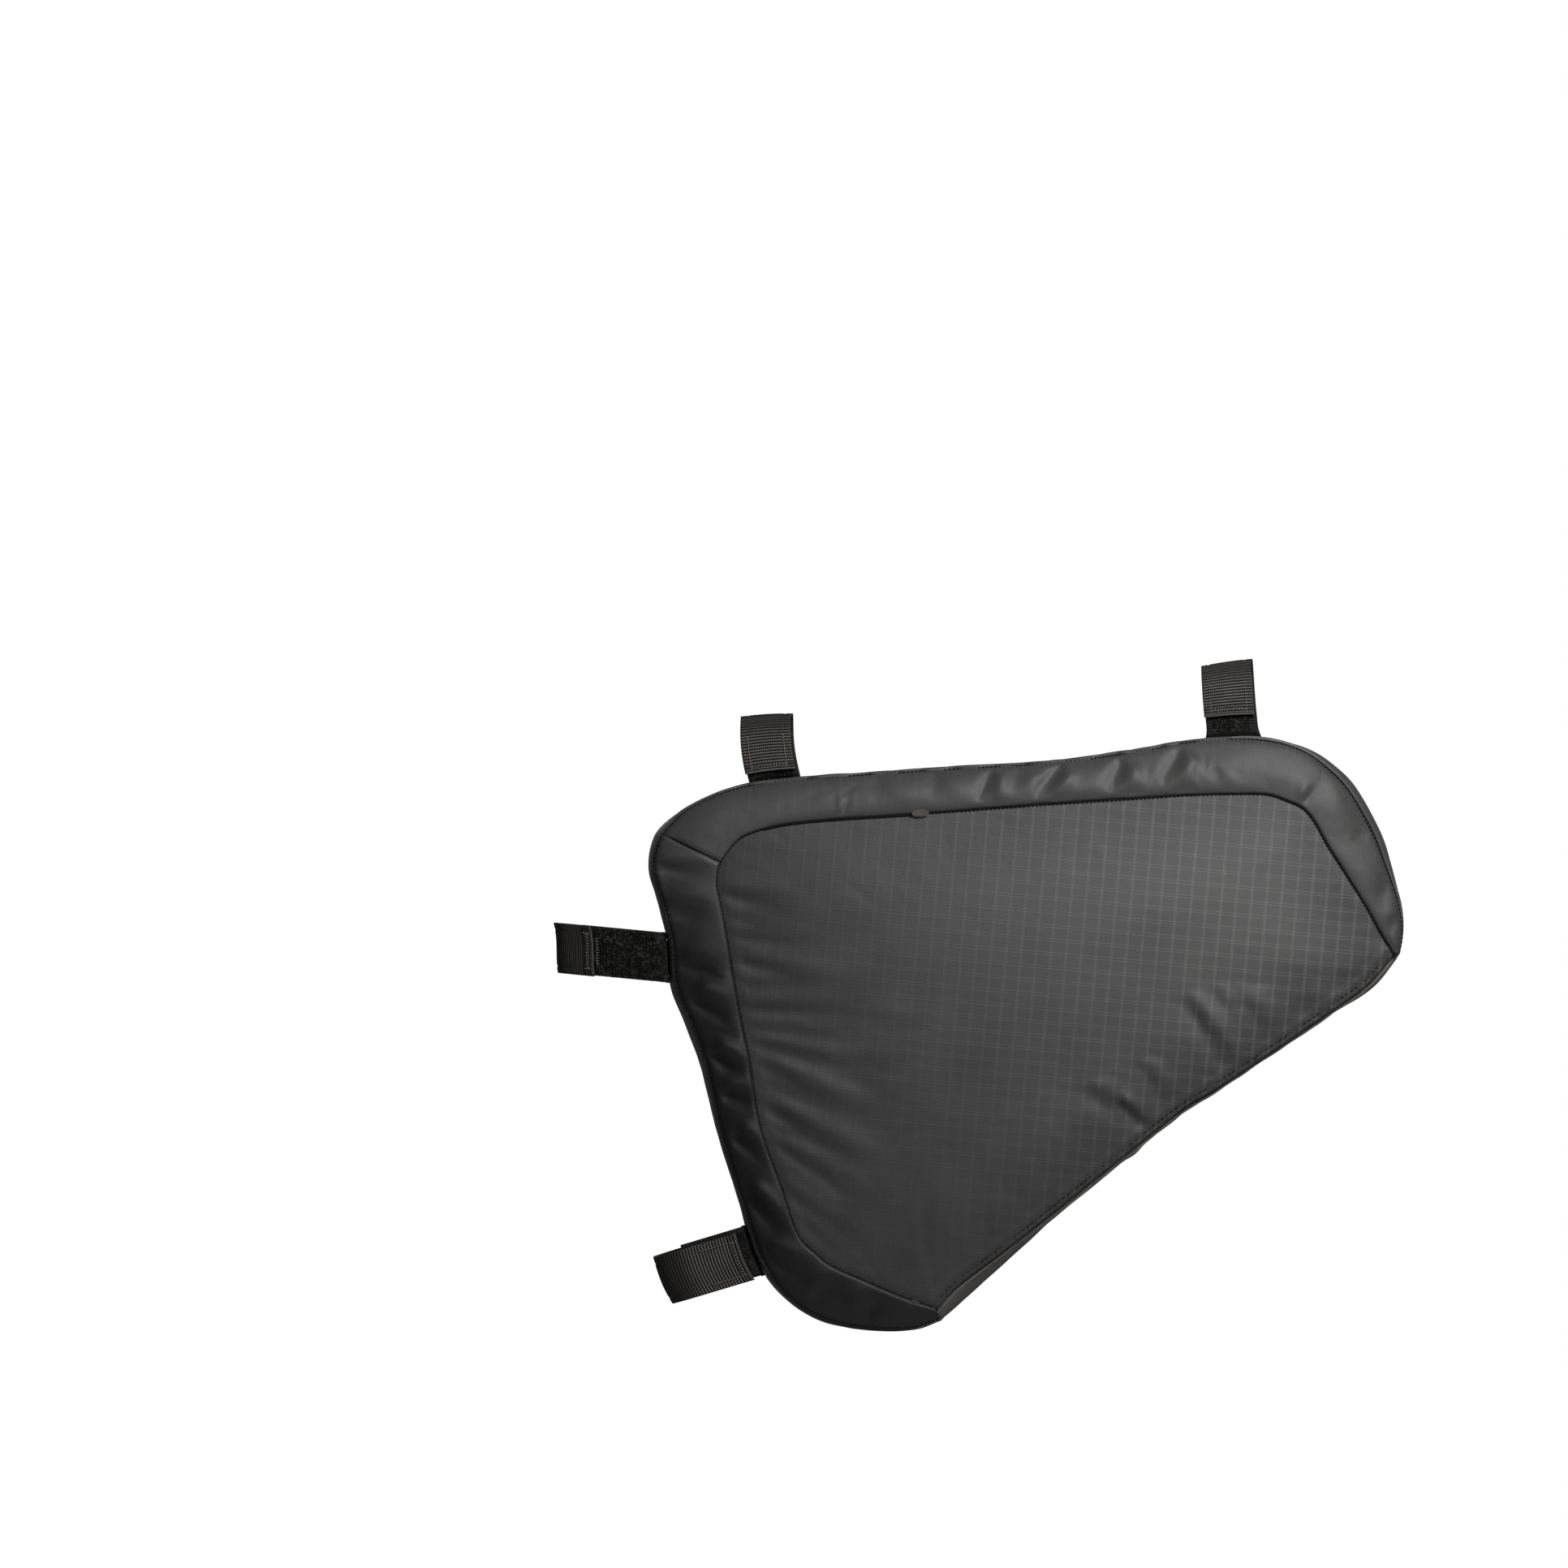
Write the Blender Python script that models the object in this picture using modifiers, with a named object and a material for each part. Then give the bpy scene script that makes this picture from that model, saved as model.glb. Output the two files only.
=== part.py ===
"""Triangular frame bag, hung by four hook-and-loop straps.

Two crowned ripstop side panels are framed by padded bands. A narrow gusset runs round the rim,
a second gusset closes the slanting underside, and each strap is a loop-pile tape that a ribbed
webbing wraps over. Metres, +X to the bag's front, +Y to its far side, +Z up. The origin lies
midway between the two top straps, at the middle of what they wrap.
"""

from collections import namedtuple
from math import cos, radians, sin

import bpy
import numpy as np

BAG_LENGTH = 0.308
BAG_HEIGHT = 0.241
GUSSET_WIDTH = 0.038
GUSSET_BULGE = 0.006
BAND_RISE = 0.0065
PANEL_CROWN = 0.005
PANEL_WALL = 0.0015
BAND_WALL = 0.0015
GUSSET_WALL = 0.0015
SEAM_GAP = 0.0003
JOIN_GAP = 0.0008
TUCK = 0.002
EDGE_ROLL = 0.0025
FOLD_DEPTH = 0.0012
FOLD_WIDTH = 0.006

STRAP_WIDTH = 0.0205
WEBBING_THICKNESS = 0.0014
TAPE_THICKNESS = 0.0018
STRAP_SEAT_GAP = 0.0004
FOOT_GAP = 0.001
TOP_STRAP_REACH = 0.0292
TOP_STRAP_SPREAD = 0.045
TOP_STRAP_BEND = 0.009
REAR_STRAP_REACH = 0.042
REAR_STRAP_SPREAD = 0.042
REAR_STRAP_BEND = 0.012

# The origin's place, as shares of the bag's length and height from its rear and its low end.
ORIGIN_ALONG = 0.468
ORIGIN_UP = 1.009

# Sections round the open U from the low tip, up the rear, along the top and down to the front tip.
# along, up is the outline and inner_along, inner_up the seam between band and panel, as shares of
# the bag's length and height. seam and crown are shares of the gusset's bulge: how far inside the
# outline the band's outer seam and the gusset's edges lie. rise is a share of the band's rise, and
# steps is the number of sections made from this row to the next.
Section = namedtuple("Section", "along up inner_along inner_up seam crown rise steps")
RIM = [
    Section(0.387, 0.016, 0.378, 0.040, 0.22, 0.77, 0.32, 1),
    Section(0.349, 0.001, 0.340, 0.056, 0.22, 0.33, 0.60, 2),
    Section(0.290, 0.000, 0.290, 0.083, 0.28, 0.28, 0.85, 2),
    Section(0.228, 0.016, 0.244, 0.109, 0.33, 0.33, 1.00, 2),
    Section(0.178, 0.056, 0.222, 0.130, 0.39, 0.39, 1.00, 2),
    Section(0.142, 0.122, 0.198, 0.163, 0.44, 0.44, 1.00, 3),
    Section(0.118, 0.222, 0.176, 0.242, 0.36, 0.36, 1.00, 4),
    Section(0.091, 0.331, 0.147, 0.350, 0.39, 0.39, 1.00, 4),
    Section(0.070, 0.440, 0.134, 0.457, 0.50, 0.50, 1.00, 2),
    Section(0.051, 0.509, 0.122, 0.529, 0.55, 0.55, 1.00, 2),
    Section(0.029, 0.580, 0.113, 0.595, 0.50, 0.50, 1.00, 2),
    Section(0.025, 0.653, 0.105, 0.655, 0.44, 0.44, 1.00, 2),
    Section(0.014, 0.714, 0.097, 0.711, 0.44, 0.44, 1.00, 2),
    Section(0.000, 0.780, 0.090, 0.752, 0.44, 0.44, 1.00, 2),
    Section(0.006, 0.833, 0.092, 0.782, 0.50, 0.50, 1.00, 1),
    Section(0.025, 0.862, 0.101, 0.804, 0.40, 0.40, 1.00, 1),
    Section(0.052, 0.884, 0.113, 0.824, 0.11, 0.11, 1.00, 2),
    Section(0.103, 0.911, 0.130, 0.839, 0.00, 0.00, 1.00, 2),
    Section(0.162, 0.927, 0.172, 0.855, 0.00, 0.00, 1.00, 2),
    Section(0.237, 0.935, 0.241, 0.865, 0.00, 0.00, 1.00, 4),
    Section(0.376, 0.947, 0.377, 0.876, 0.00, 0.00, 1.00, 4),
    Section(0.536, 0.960, 0.539, 0.891, 0.00, 0.00, 1.00, 3),
    Section(0.643, 0.978, 0.648, 0.900, 0.00, 0.00, 1.00, 2),
    Section(0.708, 0.993, 0.716, 0.906, 0.00, 0.00, 1.00, 2),
    Section(0.772, 1.000, 0.772, 0.908, 0.00, 0.00, 1.00, 2),
    Section(0.825, 0.998, 0.817, 0.907, 0.11, 0.11, 1.00, 2),
    Section(0.872, 0.984, 0.844, 0.896, 0.33, 0.33, 1.00, 1),
    Section(0.910, 0.953, 0.864, 0.884, 0.55, 0.55, 1.00, 1),
    Section(0.938, 0.914, 0.879, 0.862, 0.60, 0.60, 1.00, 2),
    Section(0.965, 0.853, 0.898, 0.819, 0.60, 0.60, 1.00, 2),
    Section(0.981, 0.796, 0.914, 0.787, 0.50, 0.50, 1.00, 2),
    Section(0.994, 0.728, 0.948, 0.718, 0.22, 0.22, 0.80, 1),
    Section(0.998, 0.673, 0.968, 0.672, 0.11, 0.25, 0.55, 1),
    Section(0.994, 0.637, 0.984, 0.640, 0.11, 0.38, 0.32, 0),
]
# The band is joined from two lengths here, as a share of the rim's length from the low tip.
BAND_JOIN = 0.423
# Sections nearer than this to a band's end, in rows, are left out.
END_ROOM = 0.2

# Sections along the slanting underside, from the low tip to the front tip, in the same shares.
Hem = namedtuple("Hem", "along up seam steps")
UNDERSIDE = [
    Hem(0.391, 0.022, 0.77, 1),
    Hem(0.424, 0.060, 1.00, 2),
    Hem(0.475, 0.118, 0.72, 2),
    Hem(0.536, 0.189, 0.39, 3),
    Hem(0.622, 0.279, 0.33, 3),
    Hem(0.708, 0.368, 0.28, 2),
    Hem(0.751, 0.405, 0.17, 2),
    Hem(0.836, 0.479, 0.11, 2),
    Hem(0.900, 0.532, 0.22, 2),
    Hem(0.956, 0.577, 0.44, 1),
    Hem(0.989, 0.627, 0.38, 0),
]

# The gusset's section: share of its half width, and share of the crown that it has dropped there.
GUSSET_PROFILE = [(-1.0, 1.0), (-0.8, 0.45), (-0.5, 0.0), (0.5, 0.0), (0.8, 0.45), (1.0, 1.0)]
# The band's section: share of its width from the outer seam, share of its rise, and share of the
# creases' depth.
BAND_PROFILE = [
    (0.00, 0.00, 0.0),
    (0.07, 0.38, 0.3),
    (0.22, 0.72, 0.9),
    (0.45, 0.92, 1.0),
    (0.68, 0.98, 0.8),
    (0.86, 1.00, 0.0),
    (1.00, 1.00, 0.0),
]
# The most of the band's width that the panel's edge reaches under it.
TUCK_LIMIT = 0.35
# The panel's rings: share of the way from its seam to its centre.
PANEL_RINGS = [0.14, 0.36, 0.66]
PANEL_CENTRE_ALONG = 0.526
PANEL_CENTRE_UP = 0.591
CROWN_POWER = 1.8
EDGE_ROLL_RISE = 0.7

# Creases start at along and up, shares of the bag's length and height, and head at turn degrees
# from +X towards +Z. length, width and depth are shares of the bag's length, the fold width and
# the fold depth. A negative depth is a furrow.
Crease = namedtuple("Crease", "along up turn length width depth")
PANEL_CREASES = [
    Crease(0.100, 0.735, -8, 0.16, 1.0, -0.8),
    Crease(0.108, 0.660, -8, 0.20, 1.0, -1.0),
    Crease(0.118, 0.585, -10, 0.17, 1.0, -0.8),
    Crease(0.127, 0.500, -12, 0.20, 1.1, -1.0),
    Crease(0.140, 0.420, -16, 0.16, 1.0, -0.9),
    Crease(0.152, 0.340, -20, 0.13, 1.0, -0.8),
    Crease(0.700, 0.390, 100, 0.09, 1.2, -1.0),
    Crease(0.610, 0.300, 118, 0.10, 1.2, -0.8),
    Crease(0.870, 0.560, 125, 0.11, 1.2, -0.9),
]
BAND_CREASES = [
    Crease(0.020, 0.745, -5, 0.05, 0.9, -0.9),
    Crease(0.030, 0.690, -5, 0.05, 0.9, -0.8),
    Crease(0.050, 0.560, -10, 0.05, 0.9, -0.8),
    Crease(0.075, 0.470, -20, 0.05, 1.0, -1.0),
    Crease(0.100, 0.330, -25, 0.05, 1.0, -0.9),
    Crease(0.130, 0.200, -30, 0.06, 1.0, -1.0),
    Crease(0.245, 0.915, -60, 0.04, 0.8, -0.8),
    Crease(0.400, 0.925, -70, 0.04, 0.8, -0.9),
    Crease(0.530, 0.930, -75, 0.04, 0.8, -1.0),
    Crease(0.860, 0.930, -80, 0.06, 0.9, -0.7),
]

# The straps. place is the share of the rim's length from the low tip, heading the way the strap
# leaves the bag, in degrees from +X towards +Z, reach a share of the family's reach, webbing_end
# the share of that reach at which the webbing's free end stops above the bag, and shift the share
# of the strap's width by which the tape lies to the side of the webbing.
Strap = namedtuple("Strap", "name place heading reach webbing_end shift")
TOP_STRAPS = [
    Strap("strap_top_rear", 0.504, 96.7, 0.95, 0.17, 0.03),
    Strap("strap_top_front", 0.798, 94.6, 1.08, 0.31, 0.02),
]
REAR_STRAPS = [
    Strap("strap_rear_upper", 0.338, 174.6, 1.09, 0.67, 0.02),
    Strap("strap_rear_lower", 0.144, 196.7, 0.905, 0.04, 0.09),
]
# The strap's bend from its foot to its upright side: shares of the way out and of the way up.
FOOT_BEND = [(0.45, 0.12), (0.82, 0.46), (1.0, 1.0)]
FOOT_RISE = 0.35
STRAP_COLUMNS = 4
UPRIGHT_POINTS = 3
BEND_STEPS = 4

SMOOTH_NYLON = ((0.030, 0.030, 0.031), 0.62)
RIPSTOP = ((0.040, 0.040, 0.039), 0.55)
WEBBING = ((0.028, 0.027, 0.026), 0.80)
LOOP_PILE = ((0.014, 0.014, 0.014), 0.95)

GUSSET_HALF = GUSSET_WIDTH / 2
# Bands and panels start at this distance from the middle plane, clear of the gusset's edges.
SIDE_SEAT = GUSSET_HALF + SEAM_GAP + max(BAND_WALL, PANEL_WALL)
# The bag's rear low corner, seen from the origin.
CORNER = np.array([-ORIGIN_ALONG * BAG_LENGTH, -ORIGIN_UP * BAG_HEIGHT])


def clear_scene():
    """Empties the scene, so that only the bag is in it."""
    for thing in list(bpy.data.objects):
        bpy.data.objects.remove(thing)


def on_bag(along, up):
    """The point of the side view at these shares of the bag's length and height."""
    return CORNER + [along * BAG_LENGTH, up * BAG_HEIGHT]


def unit(vector):
    return vector / np.linalg.norm(vector)


def direction(degrees):
    return np.array([cos(radians(degrees)), sin(radians(degrees))])


def curve_through(points, u):
    """Point at u on the Catmull-Rom curve through the points, u counting in points."""
    i = min(int(u), len(points) - 2)
    t = u - i
    before = points[i - 1] if i > 0 else 2 * points[0] - points[1]
    after = points[i + 2] if i + 2 < len(points) else 2 * points[-1] - points[-2]
    a, b = points[i], points[i + 1]
    return 0.5 * (
        2 * a
        + (b - before) * t
        + (2 * before - 5 * a + 4 * b - after) * t**2
        + (3 * a - before - 3 * b + after) * t**3
    )


class Outline:
    """A table's rows as a smooth line in the bag's side view. turn is 1 or -1, for a line that
    has the bag on its right or left."""

    NORMAL_STEP = 0.25
    FINE = 24

    def __init__(self, rows, turn):
        self.rows = rows
        self.last = len(rows) - 1
        self.turn = turn
        self.mitres = {}
        self.line = [on_bag(row.along, row.up) for row in rows]
        self.fine_u = np.linspace(0, self.last, self.last * self.FINE + 1)
        fine_line = np.array([self.point(u) for u in self.fine_u])
        pieces = np.linalg.norm(np.diff(fine_line, axis=0), axis=1)
        self.fine_length = np.concatenate([[0], np.cumsum(pieces)])

    def stations(self):
        """The places of all sections, in rows."""
        places = []
        for i, row in enumerate(self.rows):
            places += [i + step / row.steps for step in range(row.steps)]
        return places + [self.last]

    def value(self, column, u, size):
        """A column of the table at u, as a length."""
        shares = [getattr(row, column) for row in self.rows]
        return curve_through(shares, u) * size

    def point(self, u):
        return curve_through(self.line, u)

    def inward(self, u):
        """The unit direction into the bag, across the line, or along a mitre at its end."""
        if u in self.mitres:
            return self.mitres[u]
        ahead = self.point(min(u + self.NORMAL_STEP, self.last))
        behind = self.point(max(u - self.NORMAL_STEP, 0))
        along = unit(ahead - behind)
        return np.array([along[1], -along[0]]) * self.turn

    def at_share(self, share, offset=0.0):
        """The place, in rows, at a share of the line's length, plus an offset in metres."""
        length = share * self.fine_length[-1] + offset
        return float(np.interp(length, self.fine_length, self.fine_u))

    def seam_point(self, u):
        """Where the band, or on the underside the panel, is sewn to the gusset."""
        return self.point(u) + self.inward(u) * self.value("seam", u, GUSSET_BULGE)


class Rim(Outline):
    """The outline with the seam between band and panel beside it."""

    def __init__(self, rows):
        super().__init__(rows, 1)
        self.inner_line = [on_bag(row.inner_along, row.inner_up) for row in rows]

    def inner_point(self, u):
        return curve_through(self.inner_line, u)


def mitre_ends(a, b):
    """Gives two outlines that meet at both ends the same direction into the bag there."""
    low = unit(a.inward(0) + b.inward(0))
    front = unit(a.inward(a.last) + b.inward(b.last))
    a.mitres = {0: low, a.last: front}
    b.mitres = {0: low, b.last: front}


def crease_depth(creases, xz):
    """Depth of all creases at a point of the side view, in metres, outwards positive."""
    depth = 0.0
    for crease in creases:
        heading = direction(crease.turn)
        away = xz - on_bag(crease.along, crease.up)
        along = away @ heading
        across = away @ [-heading[1], heading[0]]
        length = crease.length * BAG_LENGTH
        width = crease.width * FOLD_WIDTH
        overshoot = max(0.0, -along, along - length) / FOLD_WIDTH
        depth += crease.depth * FOLD_DEPTH * np.exp(-((across / width) ** 2) - overshoot**2)
    return depth


def grid_faces(rows, columns, closed=False):
    """Quads of a grid of points, row after row. A closed grid joins its last row to its first."""
    faces = []
    for i in range(rows if closed else rows - 1):
        this, following = i * columns, (i + 1) % rows * columns
        for k in range(columns - 1):
            faces.append((this + k, following + k, following + k + 1, this + k + 1))
    return faces


def facing(points, faces, way):
    """The faces, turned over if their first one looks against the given way."""
    a, b, c = (np.array(points[i]) for i in faces[0][:3])
    if np.cross(b - a, c - a) @ np.array(way) < 0:
        return [tuple(reversed(face)) for face in faces]
    return faces


def new_material(name, finish):
    colour, roughness = finish
    material = bpy.data.materials.new(name)
    material.use_nodes = True
    shader = material.node_tree.nodes["Principled BSDF"]
    shader.inputs["Base Color"].default_value = (*colour, 1.0)
    shader.inputs["Roughness"].default_value = roughness
    shader.inputs["Metallic"].default_value = 0.0
    return material


def add_shell(name, points, faces, way, wall, finish):
    """An open surface that faces the given way, thickened inwards by one wall."""
    mesh = bpy.data.meshes.new(name)
    mesh.from_pydata([tuple(p) for p in points], [], facing(points, faces, way))
    mesh.shade_smooth()
    mesh.materials.append(new_material(name, finish))
    thing = bpy.data.objects.new(name, mesh)
    solid = thing.modifiers.new("wall", "SOLIDIFY")
    solid.thickness = wall
    solid.offset = -1.0
    BAG.objects.link(thing)


def add_gusset(name, outline, edge_column, finish):
    """A strip round an outline: flat in its middle, dropping towards the seams at its two edges."""
    points = []
    places = outline.stations()
    for u in places:
        crown = outline.value(edge_column, u, GUSSET_BULGE)
        for across, drop in GUSSET_PROFILE:
            x, z = outline.point(u) + outline.inward(u) * crown * drop
            points.append((x, across * GUSSET_HALF, z))
    faces = grid_faces(len(places), len(GUSSET_PROFILE))
    inward = outline.inward(places[0])
    add_shell(name, points, faces, (-inward[0], 0, -inward[1]), GUSSET_WALL, finish)


def add_band(name, rim, first, last, side):
    """A padded band from its outer seam up to its rolled inner edge, for one side of the bag."""
    between = [u for u in rim.stations() if first + END_ROOM < u < last - END_ROOM]
    places = [first, *between, last]
    points = []
    for u in places:
        outer = rim.seam_point(u)
        width = rim.inner_point(u) - outer
        rise = rim.value("rise", u, BAND_RISE)
        for across, lift, creased in BAND_PROFILE:
            xz = outer + width * across
            height = SIDE_SEAT + lift * rise + creased * crease_depth(BAND_CREASES, xz)
            points.append((xz[0], side * height, xz[1]))
    faces = grid_faces(len(places), len(BAND_PROFILE))
    add_shell(name, points, faces, (0, side, 0), BAND_WALL, SMOOTH_NYLON)


def panel_edge(rim, underside):
    """The panel's two outermost rings, as (outer point, its height, next point, its height)."""
    edge = []
    for u in rim.stations():
        seam = rim.inner_point(u)
        band = rim.seam_point(u) - seam
        under = min(TUCK, TUCK_LIMIT * np.linalg.norm(band))
        height = SIDE_SEAT + rim.value("rise", u, BAND_RISE) - BAND_WALL - SEAM_GAP
        edge.append((seam + unit(band) * under, height, seam, height))
    for u in reversed(underside.stations()):
        seam = underside.seam_point(u)
        rolled = seam + underside.inward(u) * EDGE_ROLL
        edge.append((seam, SIDE_SEAT, rolled, SIDE_SEAT + EDGE_ROLL_RISE * EDGE_ROLL))
    return edge


def add_panel(name, rim, underside, side):
    """A crowned side panel: rings from its seam to its centre, tucked under the band's edge."""
    centre = on_bag(PANEL_CENTRE_ALONG, PANEL_CENTRE_UP)
    top = SIDE_SEAT + BAND_RISE + PANEL_CROWN - BAND_WALL - SEAM_GAP
    edge = panel_edge(rim, underside)
    points = []
    for outer, outer_height, start, height in edge:
        points.append((outer[0], side * outer_height, outer[1]))
        points.append((start[0], side * height, start[1]))
        for share in PANEL_RINGS:
            xz = start + (centre - start) * share
            dome = height + (top - height) * (1 - (1 - share) ** CROWN_POWER)
            points.append((xz[0], side * (dome + crease_depth(PANEL_CREASES, xz)), xz[1]))
    columns = 2 + len(PANEL_RINGS)
    faces = grid_faces(len(edge), columns, closed=True)
    points.append((centre[0], side * top, centre[1]))
    innermost = [i * columns + columns - 1 for i in range(len(edge))]
    for this, following in zip(innermost, innermost[1:] + innermost[:1]):
        faces.append((this, following, len(points) - 1))
    add_shell(name, points, faces, (0, side, 0), PANEL_WALL, RIPSTOP)


def arc(centre, radius, start, end):
    """Points on an arc, its two ends included, angles in degrees."""
    angles = [start + (end - start) * i / BEND_STEPS for i in range(BEND_STEPS + 1)]
    return [(*(centre + radius * direction(a)), 0.0) for a in angles]


def foot_path(side, half, rise):
    """From the middle of the gusset out to its edge, and up to the strap's upright side."""
    flanks = [(share, drop) for share, drop in GUSSET_PROFILE if 0 < share < 1]
    end = flanks[-1][0] * GUSSET_HALF
    path = [(side * FOOT_GAP / 2, STRAP_SEAT_GAP, 0.0)]
    path += [(side * share * GUSSET_HALF, STRAP_SEAT_GAP, drop) for share, drop in flanks]
    for out, up in FOOT_BEND:
        path.append((side * (end + (half - end) * out), STRAP_SEAT_GAP + rise * up, 0.0))
    return path


def upright_path(across, start, end):
    """Straight up or down one side of the strap, without its first point."""
    return [(across, up, 0.0) for up in np.linspace(start, end, UPRIGHT_POINTS + 1)[1:]]


def add_ribbon(name, path, rim, strap, shift, thickness, finish):
    """A ribbon along one path. The path's points are (distance from the middle plane, height
    along the strap's heading, share of the gusset's crown by which the point is lowered)."""
    heading = direction(strap.heading)
    offsets = np.linspace(-STRAP_WIDTH / 2, STRAP_WIDTH / 2, STRAP_COLUMNS) + shift
    points = []
    for across, up, drop in path:
        for offset in offsets:
            u = rim.at_share(strap.place, offset)
            lowered = drop * rim.value("crown", u, GUSSET_BULGE)
            x, z = rim.point(u) + heading * up + rim.inward(u) * lowered
            points.append((x, across, z))
    faces = grid_faces(len(path), STRAP_COLUMNS)
    add_shell(name, points, faces, (-heading[0], 0, -heading[1]), thickness, finish)


def add_strap(rim, strap, family_reach, spread, bend):
    """A strap: the tape stands on the near side, and the webbing comes round from the far side
    and ends on top of it."""
    reach = strap.reach * family_reach
    half = spread / 2
    tape_half = half - WEBBING_THICKNESS - SEAM_GAP
    rise = FOOT_RISE * bend
    foot_top = STRAP_SEAT_GAP + rise
    upright = reach - bend
    webbing_end = max(strap.webbing_end * reach, foot_top)
    tape = foot_path(-1, tape_half, rise) + upright_path(-tape_half, foot_top, upright)
    webbing = foot_path(1, half, rise)
    webbing += arc((half - bend, upright), bend, 0, 90)
    webbing += arc((bend - half, upright), bend, 90, 180)
    webbing += upright_path(-half, upright, webbing_end)
    shift = strap.shift * STRAP_WIDTH
    add_ribbon(f"{strap.name}_tape", tape, rim, strap, shift, TAPE_THICKNESS, LOOP_PILE)
    add_ribbon(f"{strap.name}_webbing", webbing, rim, strap, 0.0, WEBBING_THICKNESS, WEBBING)


clear_scene()
BAG = bpy.data.collections.new("frame_bag")
bpy.context.scene.collection.children.link(BAG)

rim_line = Rim(RIM)
underside_line = Outline(UNDERSIDE, -1)
mitre_ends(rim_line, underside_line)
join_start = rim_line.at_share(BAND_JOIN, -JOIN_GAP / 2)
join_end = rim_line.at_share(BAND_JOIN, JOIN_GAP / 2)

for side_name, side_sign in (("right", -1), ("left", 1)):
    add_panel(f"side_panel_{side_name}", rim_line, underside_line, side_sign)
    add_band(f"band_rear_{side_name}", rim_line, 0, join_start, side_sign)
    add_band(f"band_top_{side_name}", rim_line, join_end, rim_line.last, side_sign)
add_gusset("rim_gusset", rim_line, "crown", SMOOTH_NYLON)
add_gusset("underside_gusset", underside_line, "seam", RIPSTOP)
for strap_row in TOP_STRAPS:
    add_strap(rim_line, strap_row, TOP_STRAP_REACH, TOP_STRAP_SPREAD, TOP_STRAP_BEND)
for strap_row in REAR_STRAPS:
    add_strap(rim_line, strap_row, REAR_STRAP_REACH, REAR_STRAP_SPREAD, REAR_STRAP_BEND)
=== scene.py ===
"""The look of a triangular frame bag: crowned ripstop panels, padded bands, gussets and straps."""

import random
from collections import namedtuple
from math import cos, pi, radians, sin

import bpy
import numpy as np
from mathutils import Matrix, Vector, noise
from mathutils.geometry import delaunay_2d_cdt


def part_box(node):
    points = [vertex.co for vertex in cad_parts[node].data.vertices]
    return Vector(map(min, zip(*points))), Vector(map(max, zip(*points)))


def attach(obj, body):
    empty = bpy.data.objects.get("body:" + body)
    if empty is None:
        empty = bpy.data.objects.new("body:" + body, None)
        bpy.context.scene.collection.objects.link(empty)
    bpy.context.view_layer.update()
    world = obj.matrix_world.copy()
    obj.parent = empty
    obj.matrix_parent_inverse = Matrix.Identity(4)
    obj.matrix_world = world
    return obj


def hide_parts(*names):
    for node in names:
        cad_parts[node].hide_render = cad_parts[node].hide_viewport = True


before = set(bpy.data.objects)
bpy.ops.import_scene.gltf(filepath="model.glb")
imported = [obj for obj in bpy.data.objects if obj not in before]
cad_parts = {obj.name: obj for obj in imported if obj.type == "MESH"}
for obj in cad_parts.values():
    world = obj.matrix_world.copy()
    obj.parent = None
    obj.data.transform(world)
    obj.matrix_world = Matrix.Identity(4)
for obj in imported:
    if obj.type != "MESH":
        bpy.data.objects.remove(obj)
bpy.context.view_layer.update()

# Side panels. The real ones are coated ripstop cloth over thin foam, one on each side, sewn under
# the padded bands along the rear and top, and rolled into the gusset's seam along the underside.
# Each is a fine sheet over its outline, raised into a low crown, with its folds pressed in.

BAG_LENGTH = 0.308
BAG_HEIGHT = 0.241
SIDE_SEAT = 0.0208
GUSSET_BULGE = 0.006
BAND_RISE = 0.0065
GUSSET_HALF = 0.019

gusset_low, gusset_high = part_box("rim_gusset")
CORNER = np.array([gusset_low[0], gusset_high[2] - 0.9995 * BAG_HEIGHT])

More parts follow.
